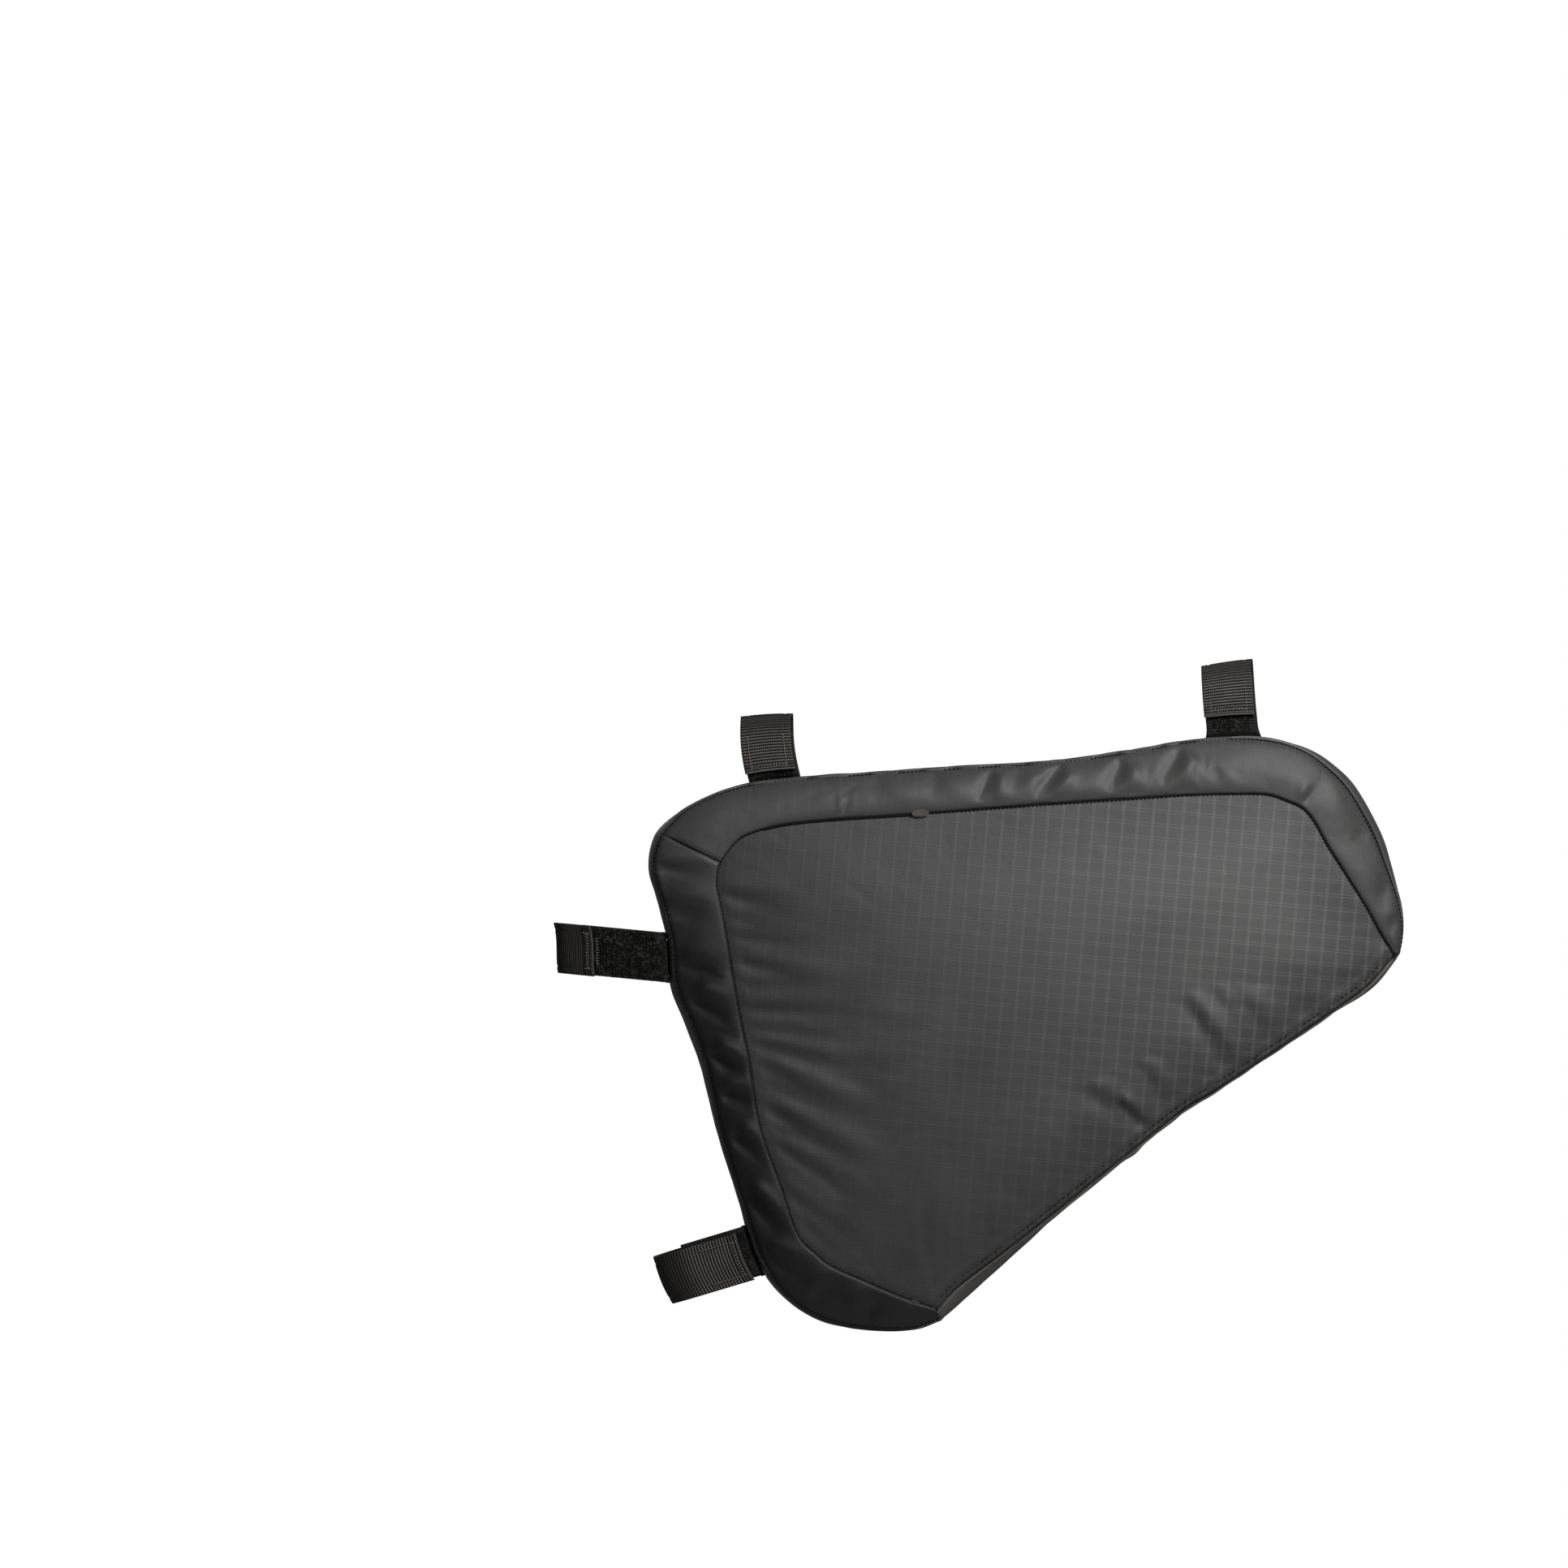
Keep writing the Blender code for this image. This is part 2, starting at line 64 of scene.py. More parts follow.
Section = namedtuple("Section", "along up inner_along inner_up seam crown rise")
RIM = [
    Section(0.387, 0.016, 0.378, 0.040, 0.22, 0.77, 0.32),
    Section(0.349, 0.001, 0.340, 0.056, 0.22, 0.33, 0.60),
    Section(0.290, 0.000, 0.290, 0.083, 0.28, 0.28, 0.85),
    Section(0.228, 0.016, 0.244, 0.109, 0.33, 0.33, 1.00),
    Section(0.178, 0.056, 0.222, 0.130, 0.39, 0.39, 1.00),
    Section(0.142, 0.122, 0.198, 0.163, 0.44, 0.44, 1.00),
    Section(0.118, 0.222, 0.176, 0.242, 0.36, 0.36, 1.00),
    Section(0.091, 0.331, 0.147, 0.350, 0.39, 0.39, 1.00),
    Section(0.070, 0.440, 0.134, 0.457, 0.50, 0.50, 1.00),
    Section(0.051, 0.509, 0.122, 0.529, 0.55, 0.55, 1.00),
    Section(0.029, 0.580, 0.113, 0.595, 0.50, 0.50, 1.00),
    Section(0.025, 0.653, 0.105, 0.655, 0.44, 0.44, 1.00),
    Section(0.014, 0.714, 0.097, 0.711, 0.44, 0.44, 1.00),
    Section(0.000, 0.780, 0.090, 0.752, 0.44, 0.44, 1.00),
    Section(0.006, 0.833, 0.092, 0.782, 0.50, 0.50, 1.00),
    Section(0.025, 0.862, 0.101, 0.804, 0.40, 0.40, 1.00),
    Section(0.052, 0.884, 0.113, 0.824, 0.11, 0.11, 1.00),
    Section(0.103, 0.911, 0.130, 0.839, 0.00, 0.00, 1.00),
    Section(0.162, 0.927, 0.172, 0.855, 0.00, 0.00, 1.00),
    Section(0.237, 0.935, 0.241, 0.865, 0.00, 0.00, 1.00),
    Section(0.376, 0.947, 0.377, 0.876, 0.00, 0.00, 1.00),
    Section(0.536, 0.960, 0.539, 0.891, 0.00, 0.00, 1.00),
    Section(0.643, 0.978, 0.648, 0.900, 0.00, 0.00, 1.00),
    Section(0.708, 0.993, 0.716, 0.906, 0.00, 0.00, 1.00),
    Section(0.772, 1.000, 0.772, 0.908, 0.00, 0.00, 1.00),
    Section(0.825, 0.998, 0.817, 0.907, 0.11, 0.11, 1.00),
    Section(0.872, 0.984, 0.844, 0.896, 0.33, 0.33, 1.00),
    Section(0.910, 0.953, 0.864, 0.884, 0.55, 0.55, 1.00),
    Section(0.938, 0.914, 0.879, 0.862, 0.60, 0.60, 1.00),
    Section(0.965, 0.853, 0.898, 0.819, 0.60, 0.60, 1.00),
    Section(0.981, 0.796, 0.914, 0.787, 0.50, 0.50, 1.00),
    Section(0.994, 0.728, 0.948, 0.718, 0.22, 0.22, 0.80),
    Section(0.998, 0.673, 0.968, 0.672, 0.11, 0.25, 0.55),
    Section(0.994, 0.637, 0.984, 0.640, 0.11, 0.38, 0.32),
]
Hem = namedtuple("Hem", "along up seam")
UNDERSIDE = [
    Hem(0.391, 0.022, 0.77),
    Hem(0.424, 0.060, 1.00),
    Hem(0.475, 0.118, 0.72),
    Hem(0.536, 0.189, 0.39),
    Hem(0.622, 0.279, 0.33),
    Hem(0.708, 0.368, 0.28),
    Hem(0.751, 0.405, 0.17),
    Hem(0.836, 0.479, 0.11),
    Hem(0.900, 0.532, 0.22),
    Hem(0.956, 0.577, 0.44),
    Hem(0.989, 0.627, 0.38),
]


def on_bag(along, up):
    """Points of the side view at shares of the bag's length and height."""
    return CORNER + np.stack([np.asarray(along) * BAG_LENGTH, np.asarray(up) * BAG_HEIGHT], -1)


def unit(vectors):
    return vectors / np.linalg.norm(vectors, axis=-1, keepdims=True)


def direction(degrees):
    return np.array([cos(radians(degrees)), sin(radians(degrees))])


def through(rows, u):
    """Points at the places u, counted in rows, on the smooth curve through the rows."""
    rows = np.asarray(rows, float)
    i = np.clip(u.astype(int), 0, len(rows) - 2)
    t = (u - i).reshape(-1, *[1] * (rows.ndim - 1))
    ends = np.concatenate([[2 * rows[0] - rows[1]], rows, [2 * rows[-1] - rows[-2]]])
    a, b, c, d = ends[i], ends[i + 1], ends[i + 2], ends[i + 3]
    return 0.5 * (
        2 * b + (c - a) * t + (2 * a - 5 * b + 4 * c - d) * t**2 + (3 * b - a - 3 * c + d) * t**3
    )


class Edge:
    """A table's rows as a smooth line of the side view. Places on it are counted in rows."""

    def __init__(self, rows, turn):
        self.rows = rows
        self.turn = turn
        self.last = len(rows) - 1
        self.fine = np.linspace(0, self.last, self.last * 40 + 1)
        steps = np.linalg.norm(np.diff(self.point(self.fine), axis=0), axis=1)
        self.lengths = np.concatenate([[0], np.cumsum(steps)])
        self.length = self.lengths[-1]

    def at(self, length):
        """The place at a length from the line's start, in metres."""
        return np.interp(length, self.lengths, self.fine)

    def spaced(self, step, start=0.0, end=None):
        """Places a step apart, between two lengths."""
        end = self.length if end is None else end
        return self.at(np.linspace(start, end, max(2, round((end - start) / step) + 1)))

    def column(self, name, u, size=1.0):
        return through([getattr(row, name) for row in self.rows], u) * size

    def point(self, u):
        return through([on_bag(row.along, row.up) for row in self.rows], u)

    def inner(self, u):
        return through([on_bag(row.inner_along, row.inner_up) for row in self.rows], u)

    def inward(self, u):
        """The direction into the bag, across the line."""
        ahead = self.point(np.minimum(u + 0.25, self.last))
        behind = self.point(np.maximum(u - 0.25, 0))
        way = unit(ahead - behind)
        return np.stack([way[:, 1], -way[:, 0]], -1) * self.turn

    def seam(self, u):
        return self.point(u) + self.inward(u) * self.column("seam", u, GUSSET_BULGE)[:, None]


rim = Edge(RIM, 1)
underside = Edge(UNDERSIDE, -1)


def smooth_step(low, high, value):
    t = np.clip((value - low) / (high - low), 0, 1)
    return t * t * (3 - 2 * t)


Fold = namedtuple("Fold", "along up turn length width depth bend")


def press(folds, xz):
    """Depth of the folds at points of the side view, outwards positive. Each is a furrow that
    starts sharp, fades out along its length and has a soft ridge on its upper side."""
    depth = np.zeros(len(xz))
    for fold in folds:
        heading = direction(fold.turn)
        away = xz - on_bag(fold.along, fold.up)
        length = fold.length * BAG_LENGTH
        along = away @ heading / length
        across = away @ np.array([-heading[1], heading[0]]) - fold.bend * length * along**2
        spread = fold.width * (1 + 0.7 * np.clip(along, 0, 1.5))
        fade = smooth_step(-0.12, 0.15, along) * (1 - smooth_step(0.15, 1.3, along))
        furrow = -np.exp(-((across / spread) ** 2))
        ridge = 0.75 * np.exp(-(((across - 1.7 * spread) / (1.1 * spread)) ** 2))
        depth += fold.depth * fade * (furrow + ridge)
    return depth


def ripple(xz, size, seed):
    """Smooth irregular waves of about one unit, with bumps of the given size in metres."""
    return np.array([noise.noise(Vector((x / size, z / size, seed))) for x, z in xz])


def inside(xz, loop):
    """Whether each point lies inside a closed line."""
    within = np.zeros(len(xz), bool)
    for (x0, z0), (x1, z1) in zip(loop, np.roll(loop, -1, axis=0)):
        crosses = (z0 > xz[:, 1]) != (z1 > xz[:, 1])
        at = x0 + (xz[:, 1] - z0) * (x1 - x0) / (z1 - z0 if z1 != z0 else 1.0)
        within ^= crosses & (xz[:, 0] < at)
    return within


def nearest(xz, line):
    """Distance from each point to a row of points."""
    return np.sqrt(((xz[:, None] - line[None]) ** 2).sum(-1)).min(1)


class Value:
    """A shader value that works in Python's arithmetic."""

    def __init__(self, finish, socket):
        self.finish = finish
        self.socket = socket

    def math(self, operation, *others):
        return self.finish.node("ShaderNodeMath", {"operation": operation}, dict(enumerate((self, *others))))

    def __add__(self, other):
        return self.math("ADD", other)

    def __mul__(self, other):
        return self.math("MULTIPLY", other)

    def __sub__(self, other):
        return self.math("SUBTRACT", other)

    def __rsub__(self, other):
        return self.finish.node("ShaderNodeMath", {"operation": "SUBTRACT"}, {0: other, 1: self})

    def __truediv__(self, other):
        return self.math("DIVIDE", other)

    def __pow__(self, other):
        return self.math("POWER", other)

    __radd__ = __add__
    __rmul__ = __mul__


class Finish:
    """A material in the making, on a Principled shader."""

    def __init__(self, name, roughness, specular, sheen=0.0, sheen_roughness=0.5):
        self.material = bpy.data.materials.new(name)
        self.material.use_nodes = True
        self.tree = self.material.node_tree
        self.shader = self.tree.nodes["Principled BSDF"]
        self.set("Roughness", roughness)
        self.set("Specular IOR Level", specular)
        self.set("Sheen Weight", sheen)
        self.set("Sheen Roughness", sheen_roughness)

    def node(self, kind, settings=None, inputs=None, output=0):
        node = self.tree.nodes.new(kind)
        for key, value in (settings or {}).items():
            if key == "stops":
                while len(node.color_ramp.elements) < len(value):
                    node.color_ramp.elements.new(0.5)
                for element, (place, colour) in zip(node.color_ramp.elements, value):
                    element.position = place
                    element.color = (*colour, 1.0)
            else:
                setattr(node, key, value)
        for key, value in (inputs or {}).items():
            if isinstance(value, Value):
                self.tree.links.new(value.socket, node.inputs[key])
            else:
                node.inputs[key].default_value = value
        return Value(self, node.outputs[output])

    def set(self, name, value):
        if isinstance(value, Value):
            self.tree.links.new(value.socket, self.shader.inputs[name])
        else:
            self.shader.inputs[name].default_value = value

    def place(self, turn=0.0, scale=1.0):
        """Coordinates in metres times a scale, turned about +Y by an angle in degrees."""
        spot = self.node("ShaderNodeTexCoord", output="Object")
        settings = {"vector_type": "POINT"}
        inputs = {"Vector": spot, "Rotation": (0, radians(turn), 0), "Scale": (scale, scale, scale)}
        return self.node("ShaderNodeMapping", settings, inputs)

    def axes(self, vector):
        return [self.node("ShaderNodeSeparateXYZ", None, {0: vector}, axis) for axis in range(3)]

    def cloud(self, vector, scale, detail=3.0, roughness=0.5):
        inputs = {"Vector": vector, "Scale": scale, "Detail": detail, "Roughness": roughness}
        return self.node("ShaderNodeTexNoise", None, inputs)

    def blend(self, share, low, high):
        """A colour from low to high."""
        inputs = {0: share, 6: low, 7: high}
        return self.node("ShaderNodeMix", {"data_type": "RGBA", "clamp_factor": True}, inputs, 2)

    def bump(self, height, distance, strength=1.0, under=None):
        inputs = {"Height": height, "Distance": distance, "Strength": strength}
        if under is not None:
            inputs["Normal"] = under
        return self.node("ShaderNodeBump", None, inputs)


def lines(coordinate, pitch, width):
    """1 on lines a pitch apart and 0 between them, with soft sides."""
    phase = (coordinate / pitch).math("FRACT")
    away = (phase - 0.5).math("ABSOLUTE") * pitch
    return (1 - away / width).math("MAXIMUM", 0.0)


def paired(coordinate, pitch, gap, width):
    """1 on pairs of lines, the pairs a pitch apart and the lines of each a gap apart."""
    return lines(coordinate, pitch, width).math("MAXIMUM", lines(coordinate + gap, pitch, width))


GRID_TURN = -5.0
GRID_ACROSS = 0.0061
GRID_UP = 0.0056
UPRIGHT_PAIR = 0.0006
UPRIGHT_WIDTH = 0.0005
LEVEL_PAIR = 0.0011
LEVEL_WIDTH = 0.0003
WEAVE_PITCH = 0.00042
WEAVE_WIDTH = 0.00018
PALING_FROM = 0.012


def held_between(value, low, high):
    return value.math("MAXIMUM", low).math("MINIMUM", high)


def ripstop(name, dark, light, edge_paling=0.0):
    """Coated ripstop: a fine plain weave with paired thicker threads in a grid, with painted light that
    makes it paler, and its grid plainer, towards the front and top. A panel has painted shade that
    darkens it near its edge, and a gusset may be paler towards its own edges."""
    finish = Finish(name, 0.5, 0.28, sheen=0.08, sheen_roughness=0.4)
    x, _, z = finish.axes(finish.place(GRID_TURN))
    upright = paired(x, GRID_ACROSS, UPRIGHT_PAIR, UPRIGHT_WIDTH)
    level = paired(z, GRID_UP, LEVEL_PAIR, LEVEL_WIDTH)
    fine = lines(x, WEAVE_PITCH, WEAVE_WIDTH) + lines(z, WEAVE_PITCH, WEAVE_WIDTH)
    spot = finish.place()
    worn = finish.cloud(spot, 55.0, 4.0)
    specks = finish.cloud(spot, 2600.0, 2.0)
    grid = upright * 0.58 + level * 0.50
    ahead, aside, raised = finish.axes(spot)
    # Painted light: the cloth is made paler towards the front and the top, where the key lamp's light falls
    # strongest.
    painted_light = held_between((ahead * 1.4 + raised * 0.6 + 0.17) * 4.2, 0.04, 1.3)
    # The grid's pale threads show plainer where that painted light is strongest, as a painted sheen.
    broken = grid * (0.35 + finish.cloud(spot, 420.0, 2.0) * 1.2) * (0.03 + painted_light.math("MINIMUM", 1.0))
    # On a panel, painted shade takes back the painted light over the last few centimetres towards its edge,
    # where the cloth turns under.
    if not edge_paling:
        middle = finish.node("ShaderNodeAttribute", {"attribute_name": "from_edge"}, None, 2)
        painted_light = painted_light * (0.2 + middle * 0.8)
    tone = (worn * 0.25 + specks * 0.25 + painted_light * 0.42 + broken * 0.62 + fine * 0.05).math("MINIMUM", 1.3)
    # A painted shadow also darkens a panel within about a millimetre of its edge, in the seam's groove.
    if not edge_paling:
        tone = tone * (0.3 + (middle * 600.0).math("MINIMUM", 0.7))
    # The underside gusset is made paler towards its edges by a given share.
    at_edge = held_between((aside.math("ABSOLUTE") - PALING_FROM) * 150.0, 0.0, 1.0)
    finish.set("Base Color", finish.blend(tone * 0.72 + at_edge * edge_paling, dark, light))
    finish.set("Roughness", 0.46 + worn * 0.12 + specks * 0.06)
    weave = finish.bump(fine * 0.35 + specks * 0.35, 0.00008, 0.8)
    finish.set("Normal", finish.bump(grid, 0.00010, 0.7, weave))
    return finish.material


def add_piece(name, points, faces, material, wall=0.0, replaced=()):
    """A smooth mesh that rides on the bag, thickened inwards by a wall."""
    mesh = bpy.data.meshes.new(name)
    mesh.from_pydata([tuple(p) for p in points], [], faces)
    mesh.shade_smooth()
    mesh.materials.append(material)
    piece = bpy.data.objects.new(name, mesh)
    bpy.context.scene.collection.objects.link(piece)
    if wall:
        solid = piece.modifiers.new("wall", "SOLIDIFY")
        solid.thickness = wall
        solid.offset = -1.0
    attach(piece, "root")
    if replaced:
        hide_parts(*replaced)
    return piece


PANEL_STEP = 0.0015
PANEL_TUCK = 0.0010
PANEL_WALL = 0.0012
PANEL_DROP = 0.0022
PANEL_TOP = 0.0325
HEM_PUFF = 0.0026
HEM_PUFF_REACH = 0.024
SEAM_PUFF_REACH = 0.035
EDGE_ROLL = 0.0009
EDGE_ROLL_WIDTH = 0.0045
FOLDS_START = 0.006
TOPSTITCH_INSET = 0.0021
TOPSTITCH_DIP = 0.0005
HEM_RIDGE_INSET = 0.0036
EDGE_SHADE_REACH = 0.04
PANEL_SPARE = 0.06
REAR_ROWS = (4, 16)
REAR_SPARE_REACH = 0.035
HEM_SPARE_REACH = 0.03
PANEL_FOLDS = [
    Fold(0.100, 0.735, -14, 0.080, 0.0026, 0.0012, 0.0),
    Fold(0.100, 0.700, -10, 0.100, 0.0026, 0.0006, 0.0),
    Fold(0.105, 0.665, -6, 0.120, 0.0026, 0.0006, 0.0),
    Fold(0.117, 0.624, -18, 0.120, 0.0026, 0.0011, 0.0),
    Fold(0.118, 0.585, -8, 0.120, 0.0026, 0.0007, 0.0),
    Fold(0.128, 0.543, -4, 0.150, 0.0028, 0.0010, 0.0),
    Fold(0.132, 0.512, -9, 0.140, 0.0024, 0.0009, 0.0),
    Fold(0.135, 0.486, -18, 0.150, 0.0026, 0.0013, 0.03),
    Fold(0.146, 0.453, -35, 0.190, 0.0030, 0.0014, 0.11),
    Fold(0.151, 0.424, -34, 0.130, 0.0024, 0.0007, 0.06),
    Fold(0.156, 0.377, -36, 0.190, 0.0030, 0.0015, 0.11),
    Fold(0.162, 0.345, -32, 0.110, 0.0022, 0.0006, 0.05),
    Fold(0.167, 0.316, -36, 0.140, 0.0026, 0.0010, 0.06),
    Fold(0.174, 0.240, -40, 0.130, 0.0026, 0.0009, 0.05),
    Fold(0.192, 0.195, -44, 0.090, 0.0024, 0.0007, 0.0),
    Fold(0.290, 0.520, -20, 0.130, 0.0045, 0.0005, 0.0),
    Fold(0.300, 0.385, -12, 0.120, 0.0045, 0.0005, 0.0),
    Fold(0.708, 0.556, -57, 0.135, 0.0030, 0.0019, -0.05),
    Fold(0.742, 0.575, -56, 0.080, 0.0026, 0.0008, 0.0),
    Fold(0.776, 0.560, -54, 0.085, 0.0036, 0.0013, 0.0),
    Fold(0.860, 0.560, -50, 0.060, 0.0040, 0.0007, 0.0),
    Fold(0.575, 0.404, -32, 0.120, 0.0032, 0.0013, 0.0),
    Fold(0.618, 0.390, -44, 0.070, 0.0018, 0.0014, 0.0),
    Fold(0.648, 0.450, -62, 0.085, 0.0026, 0.0010, 0.0),
    Fold(0.905, 0.600, -40, 0.050, 0.0040, 0.0006, 0.0),
    Fold(0.430, 0.190, -50, 0.060, 0.0045, 0.0004, 0.0),
]


def panel_loop(step):
    """The panel's closed outline, and the height at which each of its points is sewn."""
    u = rim.spaced(step)
    inner = rim.inner(u)
    tucked = inner + unit(rim.seam(u) - inner) * PANEL_TUCK
    seam_height = SIDE_SEAT + rim.column("rise", u, BAND_RISE) - PANEL_DROP
    v = underside.spaced(step)[::-1]
    hem = underside.seam(v)
    return np.concatenate([tucked, hem]), np.concatenate([seam_height, np.full(len(v), SIDE_SEAT)]), len(u)


def flat_sheet(loop, step):
    """Triangles over a closed line: a hexagonal net of points inside it, joined to its own."""
    low, high = loop.min(0), loop.max(0)
    rows = np.arange(low[1], high[1], step * sin(radians(60)))
    columns = np.arange(low[0], high[0], step)
    net = np.array([(x + step / 2 * (j % 2), z) for j, z in enumerate(rows) for x in columns])
    net = net[inside(net, loop)]
    net = net[nearest(net, loop) > 0.62 * step]
    points = [Vector(p) for p in np.concatenate([loop, net])]
    rim_edges = [(i, (i + 1) % len(loop)) for i in range(len(loop))]
    spots, _, faces, *_ = delaunay_2d_cdt(points, rim_edges, [], 1, 1e-7)
    return np.array([tuple(p) for p in spots]), [tuple(face) for face in faces]


def neighbours(faces):
    """The pairs of points that share an edge, each pair both ways round."""
    pairs = np.array([(f[i], f[(i + 1) % 3]) for f in faces for i in range(3)])
    pairs = np.unique(np.sort(pairs, axis=1), axis=0)
    return np.concatenate([pairs, pairs[:, ::-1]])


def stretched(height, pairs, held, load):
    """Heights of a skin stretched over its held points and pushed out evenly by a load, so that
    each free point stands that much above the mean of its neighbours."""
    count = np.bincount(pairs[:, 0], minlength=len(height))

    def pull(lift):
        around = np.bincount(pairs[:, 0], weights=lift[pairs[:, 1]], minlength=len(lift))
        return np.where(held, 0.0, count * lift - around)

    height = np.where(held, height, height[held].mean())
    left = np.where(held, 0.0, load * count) - pull(height)
    way, size = left.copy(), left @ left
    while size > 1e-14:
        pulled = pull(way)
        share = size / (way @ pulled)
        height = height + share * way
        left = left - share * pulled
        size, before = left @ left, size
        way = left + size / before * way
    return height


CLOTH_FRAMES = 20
CLOTH_MASS = 0.1
CLOTH_PULL = 15.0
CLOTH_BEND = 0.02
CLOTH_PRESSURE = 4.0
CLOTH_CAP = 0.003
FACES_TRIED = 40


def as_cloth(points, faces, held, spare, excess):
    """Lets a sheet settle as cloth with a little pressure under it. It is sewn fast at the held
    points, and cut larger than its place by the excess where spare is 1."""
    mesh = bpy.data.meshes.new("settling")
    mesh.from_pydata([tuple(p) for p in points], [], faces)
    cloth = bpy.data.objects.new("settling", mesh)
    bpy.context.scene.collection.objects.link(cloth)
    cloth.vertex_groups.new(name="sewn").add([int(i) for i in np.flatnonzero(held)], 1.0, "REPLACE")
    loose = cloth.vertex_groups.new(name="spare")
    for tenth in range(1, 11):
        loose.add([int(i) for i in np.flatnonzero(np.round(spare * 10) == tenth)], tenth / 10, "REPLACE")
    modifier = cloth.modifiers.new("cloth", "CLOTH")
    settings = modifier.settings
    settings.mass = CLOTH_MASS
    settings.tension_stiffness = settings.compression_stiffness = CLOTH_PULL
    settings.shear_stiffness = 0.4 * CLOTH_PULL
    settings.bending_stiffness = CLOTH_BEND
    settings.vertex_group_mass = "sewn"
    settings.use_pressure = True
    settings.uniform_pressure_force = CLOTH_PRESSURE
    settings.vertex_group_shrink = "spare"
    settings.shrink_max = -excess
    settings.effector_weights.gravity = 0.0
    modifier.collision_settings.use_collision = False
    for frame_number in range(1, CLOTH_FRAMES + 1):
        bpy.context.scene.frame_set(frame_number)
    settled = cloth.evaluated_get(bpy.context.evaluated_depsgraph_get()).data
    moved = np.array([v.co for v in settled.vertices]) - points
    bpy.data.objects.remove(cloth)
    bpy.context.scene.frame_set(1)
    far = np.linalg.norm(moved, axis=1, keepdims=True)
    return points + moved * np.minimum(1.0, CLOTH_CAP / np.maximum(far, 1e-9))


def facing(points, faces, way):
    """The faces, turned over if those in the middle look against the given way."""
    middle = len(faces) // 2
    around = faces[max(0, middle - FACES_TRIED) : middle + FACES_TRIED]
    corners = np.array([face[:3] for face in around])
    a, b, c = (points[corners[:, k]] for k in range(3))
    return [face[::-1] for face in faces] if (np.cross(b - a, c - a) @ np.array(way)).sum() < 0 else faces


loop, loop_height, hem_start = panel_loop(PANEL_STEP)
sheet_xz, sheet_faces = flat_sheet(loop, PANEL_STEP)
to_loop = np.sqrt(((sheet_xz[:, None] - loop[None]) ** 2).sum(-1))
edge_gap = to_loop.min(1)
hem_gap = to_loop[:, hem_start:].min(1)
seam_gap = to_loop[:, :hem_start].min(1)
on_edge = edge_gap < 1e-6
sewn_height = loop_height[to_loop.argmin(1)]
pairs = neighbours(sheet_faces)
slack_skin = stretched(sewn_height, pairs, on_edge, 0.0)
blown = stretched(sewn_height, pairs, on_edge, 1e-6) - slack_skin
middle = blown.argmax()
crown = slack_skin + blown * (PANEL_TOP - HEM_PUFF - slack_skin[middle]) / blown[middle]
crown += HEM_PUFF * smooth_step(0.0, HEM_PUFF_REACH, hem_gap) * smooth_step(0.0, SEAM_PUFF_REACH, seam_gap)
off_seam = smooth_step(0.0, FOLDS_START, edge_gap)
puffed = EDGE_ROLL * smooth_step(0.0, EDGE_ROLL_WIDTH, edge_gap)
waves = 0.00035 * ripple(sheet_xz, 0.018, 3.0) + 0.00012 * ripple(sheet_xz, 0.006, 8.0)
panel_start = crown + puffed + (press(PANEL_FOLDS, sheet_xz) + waves) * off_seam
rear_line = rim.inner(np.linspace(*REAR_ROWS, 100))
rear_gap = nearest(sheet_xz, rear_line)
spare = np.maximum(
    np.exp(-((rear_gap / REAR_SPARE_REACH) ** 2)), 0.6 * np.exp(-((hem_gap / HEM_SPARE_REACH) ** 2))
)
panel_points = np.stack([sheet_xz[:, 0], -panel_start, sheet_xz[:, 1]], -1)
sheet_faces = facing(panel_points, sheet_faces, (0, -1, 0))
panel_points = as_cloth(panel_points, sheet_faces, on_edge, spare, PANEL_SPARE)
hem_ridge = TOPSTITCH_DIP * np.exp(-(((hem_gap - HEM_RIDGE_INSET) / 0.0010) ** 2))
hem_groove = TOPSTITCH_DIP * np.exp(-(((hem_gap - TOPSTITCH_INSET) / 0.0006) ** 2))
panel_points[:, 1] -= hem_ridge - hem_groove

PANEL_DARK = (0.0115, 0.0108, 0.0112, 1.0)
PANEL_LIGHT = (0.116, 0.1145, 0.113, 1.0)
panel_material = ripstop("panel_ripstop", PANEL_DARK, PANEL_LIGHT)

for side_name, side in (("right", -1), ("left", 1)):
    points = panel_points * (1, -side, 1)
    panel = add_piece(
        f"panel_{side_name}", points, facing(points, sheet_faces, (0, side, 0)), panel_material,
        PANEL_WALL, [f"side_panel_{side_name}"],
    )
    # Distance from the panel's edge, which its cloth reads to paint shade near the edge.
    from_edge = panel.data.attributes.new("from_edge", "FLOAT", "POINT")
    from_edge.data.foreach_set("value", smooth_step(0.0, EDGE_SHADE_REACH, edge_gap))

# Edge bands. On the real bag each side has a padded band of smooth nylon, folded over foam and
# sewn from two lengths that meet in a slanting seam at the upper rear corner. Its inner edge is
# rolled and stands over the panel. Each is a fine net from the outer seam to under the roll.

